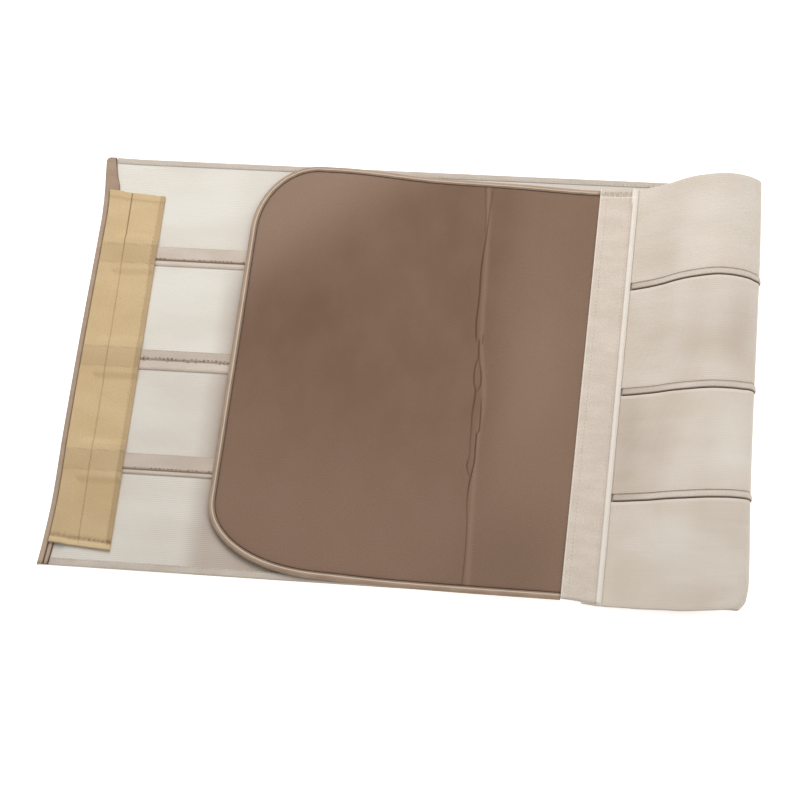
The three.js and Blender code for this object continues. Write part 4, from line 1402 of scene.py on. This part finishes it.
def add_join_stitches():
    """Stitch lines along the two sides of the joining tape, and across its turned far end."""
    top = PANEL_TOP + CLEARANCE + JOIN_TAPE_THICKNESS + 0.05 * MM
    left, right = JOIN_LEFT + JOIN_STITCH_INSET, JOIN_RIGHT - JOIN_STITCH_INSET
    across = np.linspace(-HALF + 1.5 * MM, HALF - 1.5 * MM, 160)
    places = []
    for x in (left, right - 0.6 * MM):
        line = np.column_stack([tape_place(x, across), np.full(len(across), top)])
        places += flat_stitches(line, JOIN_SPACING)
    x = np.linspace(left, right, 20)
    for inset, lift in ((JOIN_END_FOLD - 1 * MM, JOIN_END_RISE), (JOIN_END_FOLD + 1.6 * MM, 0)):
        line = np.column_stack([tape_place(x, HALF - inset), np.full(len(x), top + lift)])
        places += flat_stitches(line, JOIN_END_SPACING)
    return add_stitches("stitches_joining_tape", places)


def hook_line(inward, line):
    """Line on the upper face of the hook strip, from places inward and lines across it."""
    left, width = hook_place(line)
    across = line - HOOK_DROP * inward / width
    height = hook_surface(inward, across) + HOOK_THICKNESS + 0.03 * MM
    return np.column_stack([left + inward, MIDDLE_Y + across, height])


def add_hook_stitches():
    """Pale stitch lines inside the turned edges of the hook strip, and brown ones in its near end."""
    lines = np.linspace(HOOK_NEAR_END + HOOK_TURN, HOOK_FAR_END - HOOK_TURN - 1 * MM, 140)
    widths = hook_place(lines)[1]
    edge = hook_line(widths - HOOK_EDGE_STITCH, lines)
    inward = np.linspace(2 * MM, widths[-1] - HOOK_EDGE_STITCH, 30)
    end = hook_line(inward, lines[-1] + 0 * inward)
    pale = flat_stitches(edge, HOOK_SPACING) + flat_stitches(end, HOOK_SPACING)
    inward = np.linspace(0.6 * widths[0], widths[0] - 1 * MM, 20)
    near = hook_line(inward, lines[0] + 0 * inward)
    spots = edge[(lines > 0.45 * HALF) & (lines < 0.62 * HALF)]
    brown = flat_stitches(near, MARK_SPACING) + flat_stitches(spots, DOT_SPACING)
    return add_stitches("stitches_hook_strip", pale), add_stitches("stitches_hook_end", brown)


def add_studio():
    """Pale floor, a white world and soft lights."""
    bpy.ops.mesh.primitive_plane_add(size=12)
    floor = bpy.context.object
    floor.name = "studio_floor"
    attribute = floor.data.attributes.new("cloth", "FLOAT_VECTOR", "POINT")
    attribute.data.foreach_set("vector", np.array([v.co for v in floor.data.vertices], np.float32).ravel())
    floor.data.materials.append(floor_material())

    world = bpy.data.worlds.new("studio")
    world.use_nodes = True
    world.node_tree.nodes["Background"].inputs["Color"].default_value = (1, 1, 1, 1)
    world.node_tree.nodes["Background"].inputs["Strength"].default_value = WORLD_STRENGTH
    bpy.context.scene.world = world
    for name, place, size, power in LIGHTS:
        lamp = bpy.data.lights.new(name, "AREA")
        lamp.size = size
        lamp.energy = power
        holder = bpy.data.objects.new(name, lamp)
        holder.location = place
        holder.rotation_mode = "QUATERNION"
        holder.rotation_quaternion = (-Vector(place)).to_track_quat("-Z", "Y")
        bpy.context.scene.collection.objects.link(holder)
    bpy.context.scene.view_settings.view_transform = "Standard"


def add_camera():
    """Camera at the photograph's angle, turned a little about its own view."""
    azimuth, elevation, roll = (math.radians(angle) for angle in CAMERA_ANGLES)
    forward = Vector(
        (
            -math.sin(azimuth) * math.cos(elevation),
            math.cos(azimuth) * math.cos(elevation),
            -math.sin(elevation),
        )
    )
    right = forward.cross(Vector((0, 0, 1))).normalized()
    up = right.cross(forward)
    turned_right = right * math.cos(roll) + up * math.sin(roll)
    turned_up = up * math.cos(roll) - right * math.sin(roll)
    lens = bpy.data.cameras.new("camera")
    lens.lens = CAMERA_LENS
    lens.sensor_width = CAMERA_SENSOR
    camera = bpy.data.objects.new("camera", lens)
    axes = Matrix((turned_right, turned_up, -forward)).transposed()
    place = Vector(CAMERA_TARGET) - forward * CAMERA_DISTANCE
    camera.matrix_world = Matrix.Translation(place) @ axes.to_4x4()
    bpy.context.scene.collection.objects.link(camera)
    bpy.context.scene.camera = camera


bands = add_bands()
ribs = add_ribs()
tapes = add_tapes()
hems = add_hems()
end_binding = add_end_binding()
hook_strip = add_hook_strip()
loop_panel = add_loop_panel()
panel_binding = add_panel_binding()
joining_tape = add_joining_tape()
rib_stitches, *tape_stitches = add_seam_stitches()
hem_stitches = add_hem_stitches()
join_stitches = add_join_stitches()
hook_stitches = add_hook_stitches()


def declare_cloth():
    """Flat length of each band and the size of the hook strip, worked out and not kept."""
    for i, band in enumerate(bands):
        middle = HALF * (1 - 2 * (sum(BAND_SHARES[:i]) + BAND_SHARES[i] / 2))
        length = float(band_line([middle])[2][-1])
    hook_size = (float(hook_place(0)[1]), HOOK_LENGTH)


declare_cloth()
add_studio()
add_camera()
